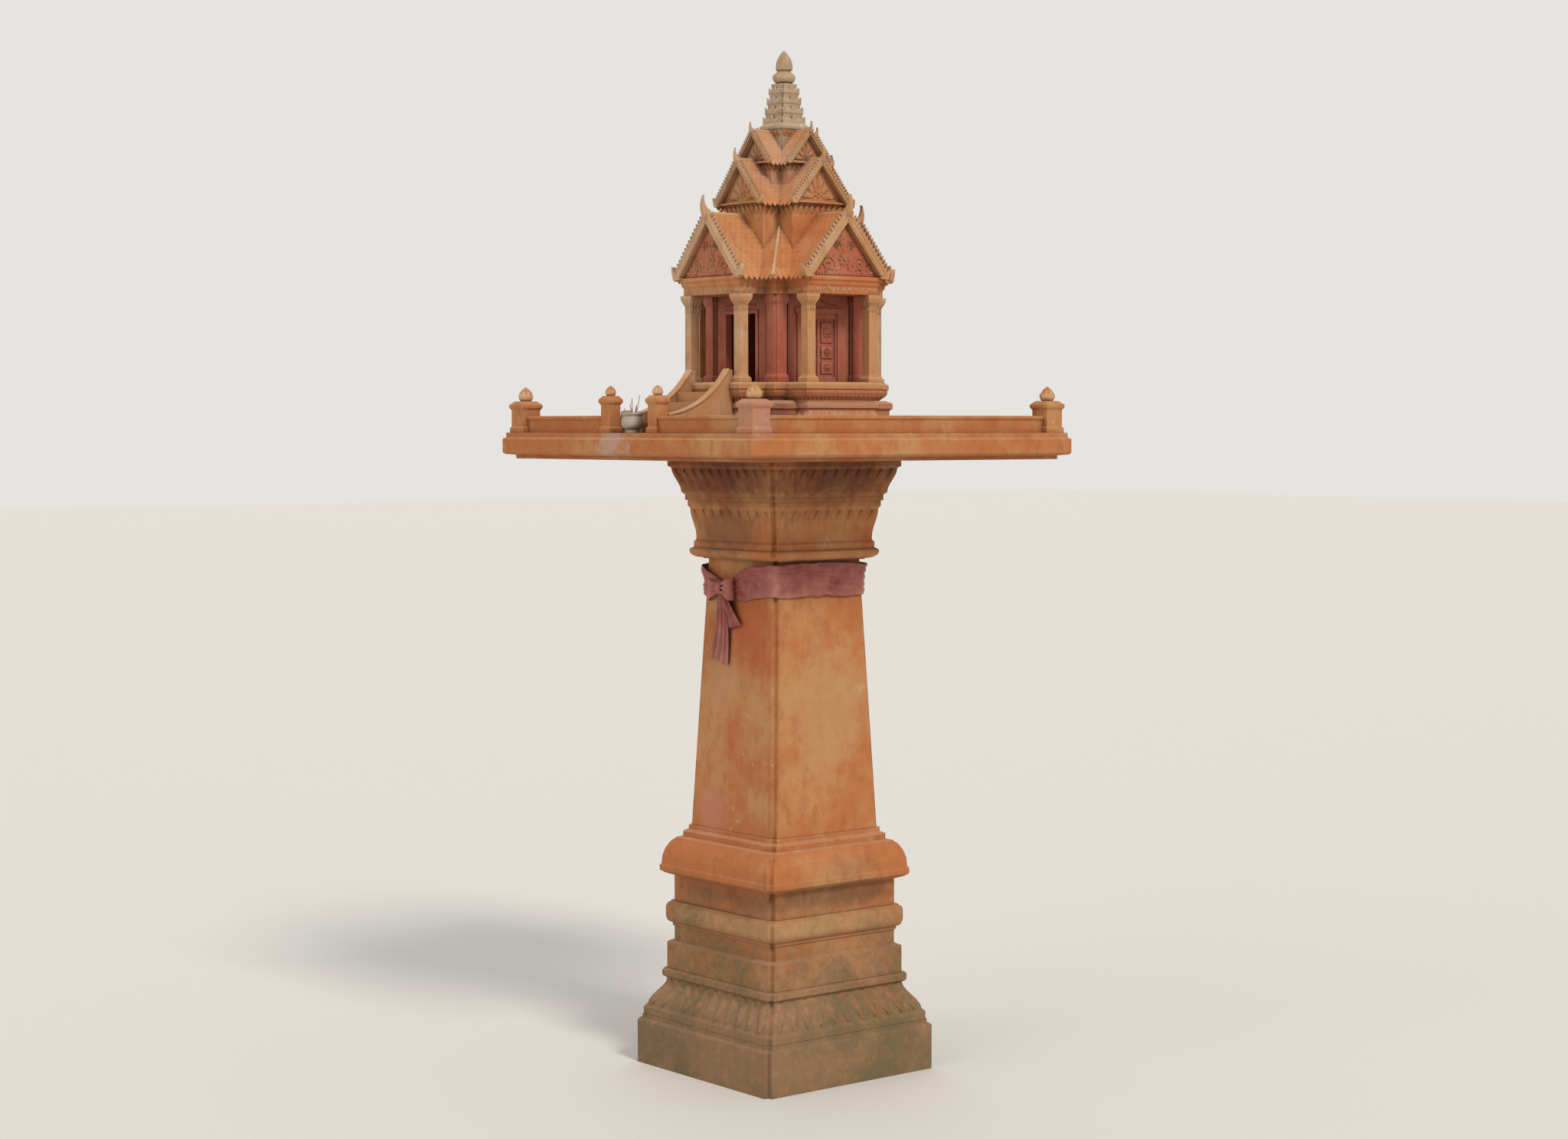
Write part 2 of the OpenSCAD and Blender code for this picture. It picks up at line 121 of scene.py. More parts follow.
# %% [markdown]
# Floor, sky and lamps
#
# A pale floor and a soft sky show the object without colouring it. The sun of the photograph stands to the right,
# so the faces on that side are lit and the left ones are in open shade. A wide, soft sun lamp gives the same, two
# weaker ones fill the shade, and all are set so that a lit face renders about as bright as its paint is written.

# %% Build the floor, sky and sun
floor_mesh = bpy.data.meshes.new("floor")
shape = bmesh.new()
bmesh.ops.create_grid(shape, x_segments=1, y_segments=1, size=40)
shape.to_mesh(floor_mesh)
shape.free()
floor = put("floor", floor_mesh)

pale, shader = blank("pale floor")
shader.inputs["Base Color"].default_value = linear("#D9D5CE")
shader.inputs["Roughness"].default_value = 0.9
floor_mesh.materials.append(pale)

world = bpy.data.worlds.new("sky")
world.use_nodes = True
scene.world = world
sky = world.node_tree
sky.nodes.clear()
ray = add(sky, "LightPath")
seen = add(sky, "Math", {0: ray.outputs["Is Camera Ray"], 1: ray.outputs["Is Glossy Ray"]}, operation="MAXIMUM")
light = add(sky, "Background", {"Color": (0.94, 0.97, 1.0, 1.0), "Strength": 0.58})
backdrop = add(sky, "Background", {"Color": linear("#E6E4E0"), "Strength": 1.0})
mixed = add(sky, "MixShader", {0: seen, 1: light, 2: backdrop})
add(sky, "OutputWorld", {"Surface": mixed})

# The azimuth of a lamp from the front, its height and its width are in degrees
for name, azimuth, height, strength, width in (
        ("sun", 82, 42, 1.75, 14), ("left fill", 2, 24, 0.55, 50), ("back fill", 236, 30, 0.5, 60)):
    lamp = bpy.data.lights.new(name, "SUN")
    lamp.energy = strength
    lamp.angle = radians(width)
    lamp.color = (1.0, 0.96, 0.90)
    angle, up = radians(azimuth), radians(height)
    towards = Vector((sin(angle) * cos(up), -cos(angle) * cos(up), sin(up)))
    put(name, lamp).rotation_euler = towards.to_track_quat("Z", "Y").to_euler()

# %% [markdown]
# Weathered masonry paint
#
# The shrine is cast cement, brushed with acrylic masonry paint and left outdoors for years. What the eye meets is
# matt paint of two close tones, chalky dust on every ledge, dark rain streaks below them, dirt with painted shade in
# the corners, painted shade with dampness in sheltered places, worn edges where the cement grins through, and green
# algae with splashed soil near the ground.
#
# Each of these is one layer, a mask and a colour, and the layers are mixed over the paint one after the other. The
# masks read the object's own coordinates in metres, so a scale is one divided by the real size of the pattern.
# Ambient occlusion finds the corners and the sheltered places, which it darkens as painted shade, and the bevel node
# finds the edges, because the imported meshes are plain triangles with no bevels to read.

# %% Weathered paint
SMOOTH = {"interpolation_type": "SMOOTHSTEP"}


def masonry(name, paint, faded, deep, undercoat="#C9AE92", wear=0.5, soot_and_shade=0.5, shade_and_mildew=0.35, foot=True, marks=()):
    """Matt masonry paint on cast cement: wear shows the undercoat on edges, sooty streaks darken the faces, and dirt
    with painted shade fills corners and sheltered places.
    """
    material, shader = blank(name)
    tree = material.node_tree
    place = add(tree, "TexCoord").outputs["Object"]
    height = add(tree, "SeparateXYZ", {0: place}).outputs["Z"]
    normal = add(tree, "NewGeometry").outputs["Normal"]
    upwards = add(tree, "SeparateXYZ", {0: normal}).outputs["Z"]

    # Sun-bleached clouds of 110 mm in drifts of 350 mm, over a coat that was stippled on with a 25 mm brush
    clouds = add(tree, "TexNoise", {"Vector": place, "Scale": 9.0, "Detail": 6.0, "Roughness": 0.65})
    drifts = add(tree, "TexNoise", {"Vector": place, "Scale": 2.8, "Detail": 2.0})
    bleached = add(tree, "Math", {0: drifts, 1: 0.9, 2: clouds}, operation="MULTIPLY_ADD")
    bleached = add(tree, "MapRange", {0: bleached, 1: 0.82, 2: 1.12}, **SMOOTH)
    strokes = add(tree, "Mapping", {"Vector": place, "Scale": (42.0, 42.0, 24.0)})
    brush = add(tree, "TexNoise", {"Vector": strokes, "Scale": 1.0, "Detail": 5.0, "Roughness": 0.6})
    brushed = add(tree, "MapRange", {0: brush, 1: 0.50, 2: 0.74, 4: 0.5})
    layers = [(bleached, linear(faded)), (brushed, linear(deep))]

    # Flakes where the top coat has let go, 10 to 40 mm across
    flakes = add(tree, "TexNoise", {"Vector": place, "Scale": 24.0, "Detail": 7.0, "Roughness": 0.68})
    flaked = add(tree, "MapRange", {0: flakes, 1: 0.655, 2: 0.675, 4: wear})
    layers.append((flaked, linear(undercoat)))

    # Dark rain runs on steep faces, 20 mm wide and up to 300 mm long, in a few places only
    runs = add(tree, "Mapping", {"Vector": place, "Scale": (48.0, 48.0, 3.2)})
    streaks = add(tree, "TexNoise", {"Vector": runs, "Scale": 1.0, "Detail": 3.0})
    streaks = add(tree, "MapRange", {0: streaks, 1: 0.54, 2: 0.80}, **SMOOTH)
    patches = add(tree, "TexNoise", {"Vector": place, "Scale": 5.5, "Detail": 2.0})
    sooty = add(tree, "MapRange", {0: patches, 1: 0.46, 2: 0.66, 4: soot_and_shade})
    steep = add(tree, "Math", {0: upwards}, operation="ABSOLUTE")
    steep = add(tree, "MapRange", {0: steep, 1: 0.35, 2: 0.8, 3: 1.0, 4: 0.0})
    streaks = add(tree, "Math", {0: streaks, 1: sooty}, operation="MULTIPLY")
    streaks = add(tree, "Math", {0: streaks, 1: steep}, operation="MULTIPLY")
    layers.append((streaks, linear("#6B4A36")))

    # Single marks, each a spot with a middle, half sizes, how ragged its rim is, a colour and a strength
    for middle, size, ragged_rim, colour, amount in marks:
        spot = add(tree, "Mapping", {"Vector": place, "Location": middle, "Scale": size}, vector_type="TEXTURE")
        away = add(tree, "VectorMath", {0: spot}, operation="LENGTH").outputs["Value"]
        torn = add(tree, "Math", {0: flakes, 1: -ragged_rim, 2: away}, operation="MULTIPLY_ADD")
        rim = 1.0 - ragged_rim / 2
        mark = add(tree, "MapRange", {0: torn, 1: rim, 2: rim - 0.6, 4: amount}, **SMOOTH)
        layers.append((mark, linear(colour)))

    # Painted shade, with dampness and mildewed paint, where neither sun nor wind gets in: under the platform and deep
    # in the porches
    shelter = add(tree, "AmbientOcclusion", {"Distance": 0.35}, samples=8).outputs["AO"]
    painted_shade_and_damp = add(tree, "MapRange", {0: shelter, 1: 0.62, 2: 0.26, 4: shade_and_mildew})
    layers.append((painted_shade_and_damp, linear("#5C2F20")))

    # Chalk and dust on what faces the sky
    speckle = add(tree, "TexNoise", {"Vector": place, "Scale": 60.0, "Detail": 5.0, "Roughness": 0.7})
    dust = add(tree, "MapRange", {0: upwards, 1: 0.72, 2: 0.98, 4: 0.62}, **SMOOTH)
    dust = add(tree, "Math", {0: dust, 1: speckle}, operation="MULTIPLY")
    layers.append((dust, linear("#C2A78B")))

    # Worn edges, where a rounded normal turns away from the face's own
    rounded = add(tree, "Bevel", {"Radius": 0.0028}, samples=4)
    same = add(tree, "VectorMath", {0: rounded, 1: normal}, operation="DOT_PRODUCT").outputs["Value"]
    edge = add(tree, "MapRange", {0: same, 1: 0.995, 2: 0.90, 4: wear})
    chips = add(tree, "MapRange", {0: speckle, 1: 0.44, 2: 0.60})
    worn = add(tree, "Math", {0: edge, 1: chips}, operation="MULTIPLY")
    layers.append((worn, linear(undercoat)))

    # Grime and painted shade in corners and under ledges, within 40 mm
    open_sky = add(tree, "AmbientOcclusion", {"Distance": 0.04}, samples=6).outputs["AO"]
    grime_and_shade = add(tree, "MapRange", {0: open_sky, 1: 0.68, 2: 0.22, 4: 0.45 + 0.6 * soot_and_shade})
    grime_and_shade = add(tree, "Math", {0: grime_and_shade, 1: speckle, 2: 0.12}, operation="MULTIPLY_ADD")
    grime_and_shade = add(tree, "MapRange", {0: grime_and_shade, 1: 0.18, 2: 0.75, 4: 0.8})
    layers.append((grime_and_shade, linear("#4E3020")))

    if foot:
        # Algae and splashed soil, thick at the ground and gone by knee height
        ragged = add(tree, "Math", {0: patches, 1: -0.42, 2: height}, operation="MULTIPLY_ADD")
        algae = add(tree, "MapRange", {0: ragged, 1: 0.40, 2: -0.12, 4: 0.86}, **SMOOTH)
        algae = add(tree, "Math", {0: algae, 1: speckle}, operation="MULTIPLY")
        algae = add(tree, "MapRange", {0: algae, 1: 0.08, 2: 0.42, 4: 0.9})
        growth = add(tree, "Mix", {0: bleached, 6: linear("#665E42"), 7: linear("#84674C")}, data_type="RGBA")
        layers.append((algae, growth.outputs[2]))

    tone = linear(paint)
    for mask, colour in layers:
        tone = add(tree, "Mix", {0: mask, 6: tone, 7: colour}, data_type="RGBA").outputs[2]
    tree.links.new(tone, shader.inputs["Base Color"])

    # Cast cement is pitted at about 3 mm, the brush leaves shallow ridges, and wear and flakes are a coat lower
    relief = add(tree, "TexNoise", {"Vector": place, "Scale": 300.0, "Detail": 3.0})
    for form, rise in ((brush, 0.8), (worn, -0.8), (flaked, -0.9)):
        relief = add(tree, "Math", {0: form, 1: rise, 2: relief}, operation="MULTIPLY_ADD")
    bump = add(tree, "Bump", {"Height": relief, "Strength": 0.45, "Distance": 0.0012, "Normal": rounded})
    tree.links.new(bump.outputs[0], shader.inputs["Normal"])
    gloss = add(tree, "MapRange", {0: speckle, 1: 0.3, 2: 0.7, 3: 0.72, 4: 0.90})
    tree.links.new(gloss.outputs[0], shader.inputs["Roughness"])
    shader.inputs["Specular IOR Level"].default_value = 0.35
    return material


# %% [markdown]
# The paints of this shrine
#
# The pedestal, posts and roof are one orange masonry paint. The columns, steps, posts' buds and roof boards were
# picked out in a lighter coat that has faded to sand, and on the spire, in the worst weather, to grey. The walls
# behind the porches and the ground of the gables are brick red. The small pot on the platform is bare cement.
#
# Marks that the photograph shows in one place only are listed one by one: sun and dust on the shaft and the roofs,
# ash on the rim, a deeper orange near the cloth, painted shade under the platform, on the capital, in the foot groove
# and in one corner of the base, and a painted highlight on the foot band.

# %% Mix the paints
SEEN_MARKS = {
    "pale right face": ((0.13, 0.005, 0.80), (0.06, 0.13, 0.20), 1.6, "#BA9062", 0.6),
    "pale left face": ((-0.045, -0.135, 0.87), (0.08, 0.05, 0.12), 1.6, "#B98760", 0.6),
    "pinkish left foot": ((-0.07, -0.15, 0.58), (0.07, 0.05, 0.08), 1.6, "#B97C66", 0.6),
    "deeper orange near the cloth": ((0.06, -0.13, 0.99), (0.11, 0.06, 0.13), 1.6, "#A8522B", 0.65),
    # Painted shade in the foot groove, and a painted highlight on the band below it
    "painted shade in the foot groove": ((0.02, 0.02, 0.406), (0.34, 0.34, 0.042), 0.8, "#5C3722", 0.72),
    "painted highlight on the foot band": ((0.04, -0.06, 0.345), (0.34, 0.34, 0.034), 1.0, "#C39A6C", 0.6),
    "ash on the rim": ((-0.03, -0.452, 1.405), (0.06, 0.06, 0.055), 2.6, "#B5907C", 0.9),
    "pinkish near post": ((0.412, -0.412, 1.46), (0.07, 0.07, 0.075), 1.2, "#B58470", 0.6),
    # Painted shade under the platform and on the capital
    "painted shade under the platform": ((0, 0, 1.33), (0.36, 0.36, 0.105), 0.7, "#53291E", 0.84),
    "painted shade on the capital": ((-0.01, -0.15, 1.20), (0.15, 0.05, 0.075), 1.2, "#66392A", 0.55),
}
ROOF_MARKS = {
    "pale upper gables": ((0, 0, 2.0), (0.19, 0.19, 0.13), 1.4, "#C9A584", 0.55),
    "washed-out base": ((0, 0, 1.475), (0.42, 0.42, 0.06), 1.4, "#BE9070", 0.75),
    # Painted shade in the re-entrant corner of the base
    "painted shade in the base corner": ((0.15, -0.15, 1.45), (0.055, 0.055, 0.055), 0.8, "#7A4540", 0.75),
}
ORANGE = masonry("orange masonry paint", "#B26B3B", "#B98453", "#96502D", marks=SEEN_MARKS.values())
ROOF = masonry("orange roof paint", "#BF7140", "#C58957", "#9E532F", wear=0.6, shade_and_mildew=0.3, marks=ROOF_MARKS.values())
TRIM = masonry("faded sand masonry paint", "#BE8B5D", "#C8A27D", "#A46B41", undercoat="#CFB998")
SPIRE = masonry("weathered sand paint", "#AB8B6A", "#B8A185", "#8C7057", undercoat="#CFC3B2", wear=0.7, soot_and_shade=0.8)
RED = masonry("brick red masonry paint", "#B2604A", "#BA745A", "#90453A", undercoat="#C08A66", soot_and_shade=0.6, shade_and_mildew=0.45)
CEMENT = masonry("bare grey cement", "#A39285", "#B2A395", "#857566", undercoat="#C4BBAF", foot=False)

SLOT_PAINT = {"orange_paint": ORANGE, "trim_paint": TRIM, "red_paint": RED, "bare_cement": CEMENT}
NODE_PAINT = {"lower_roof": ROOF, "upper_roof": ROOF, "top_roof": ROOF, "spire": SPIRE, "finial": SPIRE,
              "shrine_base": ROOF, "entablature": ROOF, "corner_posts": ORANGE, "gate_posts": ORANGE}
for part in frame["record"]["subparts"]:
    paint = NODE_PAINT.get(part["node"]) or SLOT_PAINT.get(part["material_slot"], ORANGE)
    node_mesh = frame["nodes"][part["node"]].data
    node_mesh.materials.clear()
    node_mesh.materials.append(paint)
print("painted", len(frame["nodes"]), "nodes")

# %% [markdown]
# Measures shared with the casting
#
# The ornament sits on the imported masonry, so the numbers that place it are the casting's own, in millimetres. One
# constant turns them into Blender's metres. A height ends in Z, OUT is how far a front stands before the middle, and
# HALF is half a width.

# %% Measures of the shrine
MM = 0.001
DECK_Z, FLOOR_Z, BEAM_Z, EAVE_Z = 1420, 1530, 1720, 1758
WALL_OUT, BASE_OUT, BASE_HALF, BASE_SIDE_HALF = 120, 201, 98, 33
BASE_SIDE_AT = BASE_OUT - BASE_SIDE_HALF
COLUMN_X, COLUMN_Y = 87, -190
POST_AT, GATE_POST_X, POST_TOP_Z = 412, 85, DECK_Z + 102
POST_WIDTH, GATE_POST_WIDTH = 52, 36

PITCH = radians(50)
RISE = tan(PITCH)
PORCH_HALF, PORCH_OUT, SKIRT_HALF = 114, 208, 160
PORCH_RIDGE_Z = EAVE_Z + PORCH_HALF * RISE
UPPER_EAVE_Z, UPPER_HALF, UPPER_OUT = EAVE_Z + 162, 80, 126
UPPER_RIDGE_Z = UPPER_EAVE_Z + UPPER_HALF * RISE
TOP_EAVE_Z, TOP_HALF, TOP_OUT = UPPER_RIDGE_Z - 6, 60, 86
TOP_RIDGE_Z = TOP_EAVE_Z + TOP_HALF * RISE
NECK_HALF, NECK_OUT = UPPER_HALF - 12, UPPER_OUT - 12
TOP_NECK_HALF, TOP_NECK_OUT, SPIRE_HALF = TOP_HALF - 12, TOP_OUT - 12, 38
print("ridges in mm:", [round(z) for z in (PORCH_RIDGE_Z, UPPER_RIDGE_Z, TOP_RIDGE_Z)])

# %% [markdown]
# Helpers for cast ornament
#
# A mould repeats one small shape many times. In bmesh that is a template that is stamped wherever it is needed, and
# whatever stands on the front is copied to the other three sides by a quarter turn.

# %% Stamp, mirror and turn
def everything(bm):
    return bm.verts[:] + bm.edges[:] + bm.faces[:]


def points_of(geometry):
    return [e for e in geometry if isinstance(e, bmesh.types.BMVert)]


def at(x, y, z):
    return Matrix.Translation((x, y, z))


def move(bm, matrix):
    bmesh.ops.transform(bm, matrix=matrix, verts=bm.verts)


def stamp(bm, mould, place):
    """Adds a copy of the mould. place is a matrix, or a function from the mould's point to the new one."""
    cast = mould.copy()
    if callable(place):
        for point in cast.vertices:
            point.co = place(*point.co)
    else:
        cast.transform(place)
    bm.from_mesh(cast)
    bpy.data.meshes.remove(cast)


def repeat(bm, step, count):
    """Adds count - 1 copies of all there is, each one step further on."""
    first = everything(bm)
    for number in range(1, count):
        copied = bmesh.ops.duplicate(bm, geom=first)["geom"]
        bmesh.ops.translate(bm, verts=points_of(copied), vec=step * number)


def mirrored(bm):
    """Adds the mirror image on the other side of X = 0."""
    copied = bmesh.ops.duplicate(bm, geom=everything(bm))["geom"]
    bmesh.ops.scale(bm, vec=(-1, 1, 1), verts=points_of(copied))
    bmesh.ops.reverse_faces(bm, faces=[e for e in copied if isinstance(e, bmesh.types.BMFace)])


def four_sides(bm):
    """Copies what stands on the front to the other three sides."""
    front = everything(bm)
    for quarter in (1, 2, 3):
        turned = points_of(bmesh.ops.duplicate(bm, geom=front)["geom"])
        bmesh.ops.rotate(bm, verts=turned, cent=(0, 0, 0), matrix=Matrix.Rotation(pi / 2 * quarter, 3, "Z"))


def template(bm, name):
    """Turns the bmesh into a mesh with its faces outwards."""
    mesh = bpy.data.meshes.new(name)
    bmesh.ops.recalc_face_normals(bm, faces=bm.faces)
    bm.to_mesh(mesh)
    bm.free()
    return mesh


def piece(name, bm, paint, smooth=45):
    """Makes what was modelled in millimetres an object that rides with the shrine. smooth is in degrees."""
    bmesh.ops.scale(bm, vec=(MM, MM, MM), verts=bm.verts)
    mesh = template(bm, name)
    made = put(name, mesh)
    mesh.materials.append(paint)
    if smooth:
        mesh.shade_smooth()
        mesh.set_sharp_from_angle(angle=radians(smooth))
    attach(made, "root")
    print(name, len(mesh.polygons), "faces")


# %% [markdown]
# Roof tiles
#
# The roofs imitate courses of small pointed tiles, each lapping over the one below. One tile is a plate whose lower
# edge comes to a point. Rows of it cover a rectangle of roof, and cutting planes trim that rectangle to the valley,
# the hip and the ridge. A tile is given by the length that the next course leaves bare, its width and its thickness.

# %% Lay a field of tiles
def tile_template(width, length, thickness):
    """A tile with a point of 0.42 of its length and a narrow joint beside it, tilted to lie on the one below."""
    bm = bmesh.new()
    bmesh.ops.create_grid(bm, x_segments=4, y_segments=1, size=0.5)
    for point in bm.verts:
        if point.co.y < 0:
            point.co.y -= 0.42 * (1 - abs(2 * point.co.x) ** 1.4)
    top = bmesh.ops.extrude_face_region(bm, geom=bm.faces[:])["geom"]
    bmesh.ops.translate(bm, verts=points_of(top), vec=(0, 0, 1))
    bmesh.ops.scale(bm, vec=(width * 0.96, length, thickness), verts=bm.verts)
    move(bm, Matrix.Rotation(atan2(thickness * 1.25, length), 4, "X"))
    return template(bm, "one tile")


def tile_field(across, slope, bare, width, thickness):
    """Courses of tiles from the eave up the slope, with X along the eave, Y up the slope and Z out of it."""
    bm = bmesh.new()
    one = tile_template(width, bare * 1.5, thickness)
    for course in (0, 1):
        stamp(bm, one, at((course - 1) * width / 2, bare * (course + 0.55), thickness * 0.15))
    repeat(bm, Vector((width, 0, 0)), ceil(across / width) + 1)
    repeat(bm, Vector((0, bare * 2, 0)), ceil(slope / bare / 2) + 1)
    return bm


def cut(bm, point, outwards):
    """Cuts the tiles by an upright plane, takes away what lies outwards of it, and closes the cut ones."""
    bmesh.ops.bisect_plane(bm, geom=everything(bm), plane_co=point, plane_no=outwards, clear_outer=True, dist=1e-6)
    bmesh.ops.holes_fill(bm, edges=[e for e in bm.edges if e.is_boundary], sides=0)


def right_slope(half, out, eave, inset, neck, bare, width, thickness):
    """Tiles on the right slope of the front gable. inset is where its valley starts, in front of the middle."""
    bm = tile_field(out - inset + width, half / cos(PITCH), bare, width, thickness)
    move(bm, Matrix(((0, -cos(PITCH), sin(PITCH), half), (1, 0, 0, -out),
                     (0, sin(PITCH), cos(PITCH), eave), (0, 0, 0, 1))))
    cut(bm, (0, 0, 0), (-1, 0, 0))
    cut(bm, (0, -out + 0.5, 0), (0, -1, 0))
    cut(bm, (0, -inset, 0), (1, 1, 0))
    cut(bm, (0, -neck, 0), (0, 1, 0))
    return bm


def skirt_slope(bare, width, thickness):
    """Tiles on the front skirt roof, between the right side of the porch roof and the hip."""
    bm = tile_field(SKIRT_HALF, (SKIRT_HALF - NECK_HALF) / cos(PITCH), bare, width, thickness)
    move(bm, Matrix(((1, 0, 0, 0), (0, cos(PITCH), -sin(PITCH), -SKIRT_HALF),
                     (0, sin(PITCH), cos(PITCH), EAVE_Z), (0, 0, 0, 1))))
    cut(bm, (0, 0, 0), (1, 1, 0))
    cut(bm, (0, PORCH_HALF - SKIRT_HALF, 0), (-1, -1, 0))
    cut(bm, (0, -NECK_HALF, 0), (0, 1, 0))
    return bm


# %% Tile the three roofs
def tiled_roof(name, *slopes):
    """One piece of the slopes on the right of the front, their mirror images and the other three sides."""
    whole = bmesh.new()
    for bm in slopes:
        mirrored(bm)
        four_sides(bm)
        whole.from_mesh(template(bm, "slope"))
    piece(name, whole, ROOF, smooth=None)


PORCH_TILE, UPPER_TILE, TOP_TILE = (14.5, 15.0, 2.6), (12.5, 13.0, 2.2), (10.5, 11.0, 1.8)
tiled_roof("porch_roof_tiles",
           right_slope(PORCH_HALF, PORCH_OUT, EAVE_Z, SKIRT_HALF - PORCH_HALF, NECK_HALF, *PORCH_TILE),
           skirt_slope(*PORCH_TILE))
tiled_roof("upper_roof_tiles", right_slope(UPPER_HALF, UPPER_OUT, UPPER_EAVE_Z, 0, TOP_NECK_HALF, *UPPER_TILE))
tiled_roof("top_roof_tiles", right_slope(TOP_HALF, TOP_OUT, TOP_EAVE_Z, 0, SPIRE_HALF, *TOP_TILE))

# %% [markdown]
# Ridge and hip rolls
#
# Where two slopes meet, a bead of cement covers the joint. Each is a thin eight-sided bar that lies along the ridge
# or down the hip, half sunk in the tiles, and a ball ends the hip.

# %% Lay the ridge rolls
def bar_between(bm, start, end, radius, segments=8, tip=None):
    start, end = Vector(start), Vector(end)
    along = end - start
    turn = along.to_track_quat("Z", "Y").to_matrix().to_4x4()
    bmesh.ops.create_cone(bm, cap_ends=True, segments=segments, radius1=radius, radius2=tip or radius,
                          depth=along.length, matrix=Matrix.Translation((start + end) / 2) @ turn)


rolls = bmesh.new()
for out, neck_out, ridge_z, radius in ((PORCH_OUT, NECK_OUT, PORCH_RIDGE_Z, 4.5),
                                       (UPPER_OUT, TOP_NECK_OUT, UPPER_RIDGE_Z, 3.6),
                                       (TOP_OUT, SPIRE_HALF, TOP_RIDGE_Z, 3.0)):
    bar_between(rolls, (0, -out - 1, ridge_z + 1), (0, -neck_out + 2, ridge_z + 1), radius)
bar_between(rolls, (SKIRT_HALF + 1, -SKIRT_HALF - 1, EAVE_Z + 2),
            (NECK_HALF, -NECK_HALF, EAVE_Z + (SKIRT_HALF - NECK_HALF) * RISE + 2), 4.5)
bmesh.ops.create_uvsphere(rolls, u_segments=10, v_segments=6, radius=6,
                          matrix=at(SKIRT_HALF + 2, -SKIRT_HALF - 2, EAVE_Z + 3))
four_sides(rolls)
piece("ridge_rolls", rolls, TRIM, smooth=40)

# %% [markdown]
# Carved ornament
#
# Shrines of this kind are cast from moulds that copy carved wood: courses of lotus petals round every swelling
# moulding, leaf teeth along the bargeboards, scrolls in the gables. One petal, a small domed leaf, serves for nearly
# all of it. Its width, length and depth are one unit each, so every use gives it its own real size.

# %% One petal and one tooth
def petal_template(name, outline):
    """A ribbed leaf in the plane of X and Y, domed towards +Z. outline has its half width at places along Y."""
    bm = bmesh.new()
    grid = []
    for t, half in outline:
        line = []
        for u in (-1, -0.5, 0, 0.5, 1):
            rib = 0.18 if u == 0 else 0
            line.append(bm.verts.new((u * half, t, (1 - u * u) * (0.55 + 0.45 * t) + rib - 0.1)))
        grid.append(line)
    for low, high in zip(grid, grid[1:]):
        for column in range(4):
            bm.faces.new((low[column], low[column + 1], high[column + 1], high[column]))
    rim = bmesh.ops.extrude_edge_only(bm, edges=[e for e in bm.edges if e.is_boundary])["geom"]
    for point in points_of(rim):
        point.co.z = -0.5
    bmesh.ops.holes_fill(bm, edges=[e for e in bm.edges if e.is_boundary], sides=0)
    return template(bm, name)


def plate_template(name, outline):
    """A flat plate one unit thick with the given outline in the plane of X and Y."""
    bm = bmesh.new()
    face = bm.faces.new([bm.verts.new((x, y, -0.5)) for x, y in outline])
    raised = bmesh.ops.extrude_face_region(bm, geom=[face])["geom"]
    bmesh.ops.translate(bm, verts=points_of(raised), vec=(0, 0, 1))
    return template(bm, name)


PETAL = petal_template("petal", ((0, 0.345), (0.2, 0.466), (0.4, 0.5), (0.6, 0.444), (0.8, 0.3), (1, 0.02)))
ROUND_PETAL = petal_template("round petal",
                             ((0, 0.14), (0.25, 0.34), (0.5, 0.48), (0.72, 0.5), (0.9, 0.37), (1, 0.14)))
TOOTH = plate_template("tooth", ((-0.5, -0.3), (0.5, -0.3), (0.48, 0.2), (0.2, 0.62), (-0.32, 1), (-0.2, 0.6),
                                 (-0.46, 0.25)))
print("a petal has", len(PETAL.polygons), "faces")


# %% Place a petal or a flower
def facing(place, across, along, size):
    """A matrix that lays a template's X and Y along two directions, with its own depth out of their plane."""
    across, along = Vector(across).normalized(), Vector(along).normalized()
    axes = [axis * length for axis, length in zip((across, along, across.cross(along)), size)]
    return Matrix([[axis[i] for axis in axes] + [place[i]] for i in range(3)] + [[0, 0, 0, 1]])


def petal_at(bm, x, z, wall, angle, size, mould=PETAL):
    """A petal on a wall that faces the front, with its tip turned by angle from upright, in degrees."""
    c, s = cos(radians(angle)), sin(radians(angle))
    stamp(bm, mould, facing((x, wall, z), (c, 0, -s), (s, 0, c), size))


def rosette(bm, x, z, wall, radius, count, proud):
    """A round flower on a wall that faces the front."""
    for number in range(count):
        petal_at(bm, x, z, wall, 360 * number / count, (radius * 4.7 / count, radius, proud), ROUND_PETAL)
    bmesh.ops.create_icosphere(bm, subdivisions=2, radius=radius * 0.26, matrix=at(x, wall - proud * 0.7, z))


# %% [markdown]
# Lotus mouldings
#
# A petal on a swelling moulding follows its curve. The casting's S-shaped profile is worked out again here from its
# two ends, and every point of a petal is laid on it, a little way out along its normal. The petals fan out as the
# moulding widens. They point up under something carried, and down where a foot spreads.

# %% Lay petals on mouldings
def lotus_course(bm, out, wide, low, high, count, depth, upwards=True):
    """Petals on a moulding of the front face. low and high are its [growth, height] ends, as in the casting."""
    widest = wide + max(low[0], high[0])
    pitch = 2 * widest / count
    rise, growth = high[1] - low[1], high[0] - low[0]

    def laid(u, v, proud):
        t = 0.04 + v * 0.92 if upwards else 0.96 - v * 0.92
        grown = low[0] + growth * t * t * (3 - 2 * t)
        normal = Vector((rise, -growth * 6 * t * (1 - t))).normalized() * proud * depth
        x = (middle + u * pitch * 0.86) * (wide + grown) / widest
        return x, -(out + grown + normal.x), low[1] + rise * t + normal.y

    for number in range(count):
        middle = pitch * (number + 0.5) - widest
        stamp(bm, PETAL, laid)


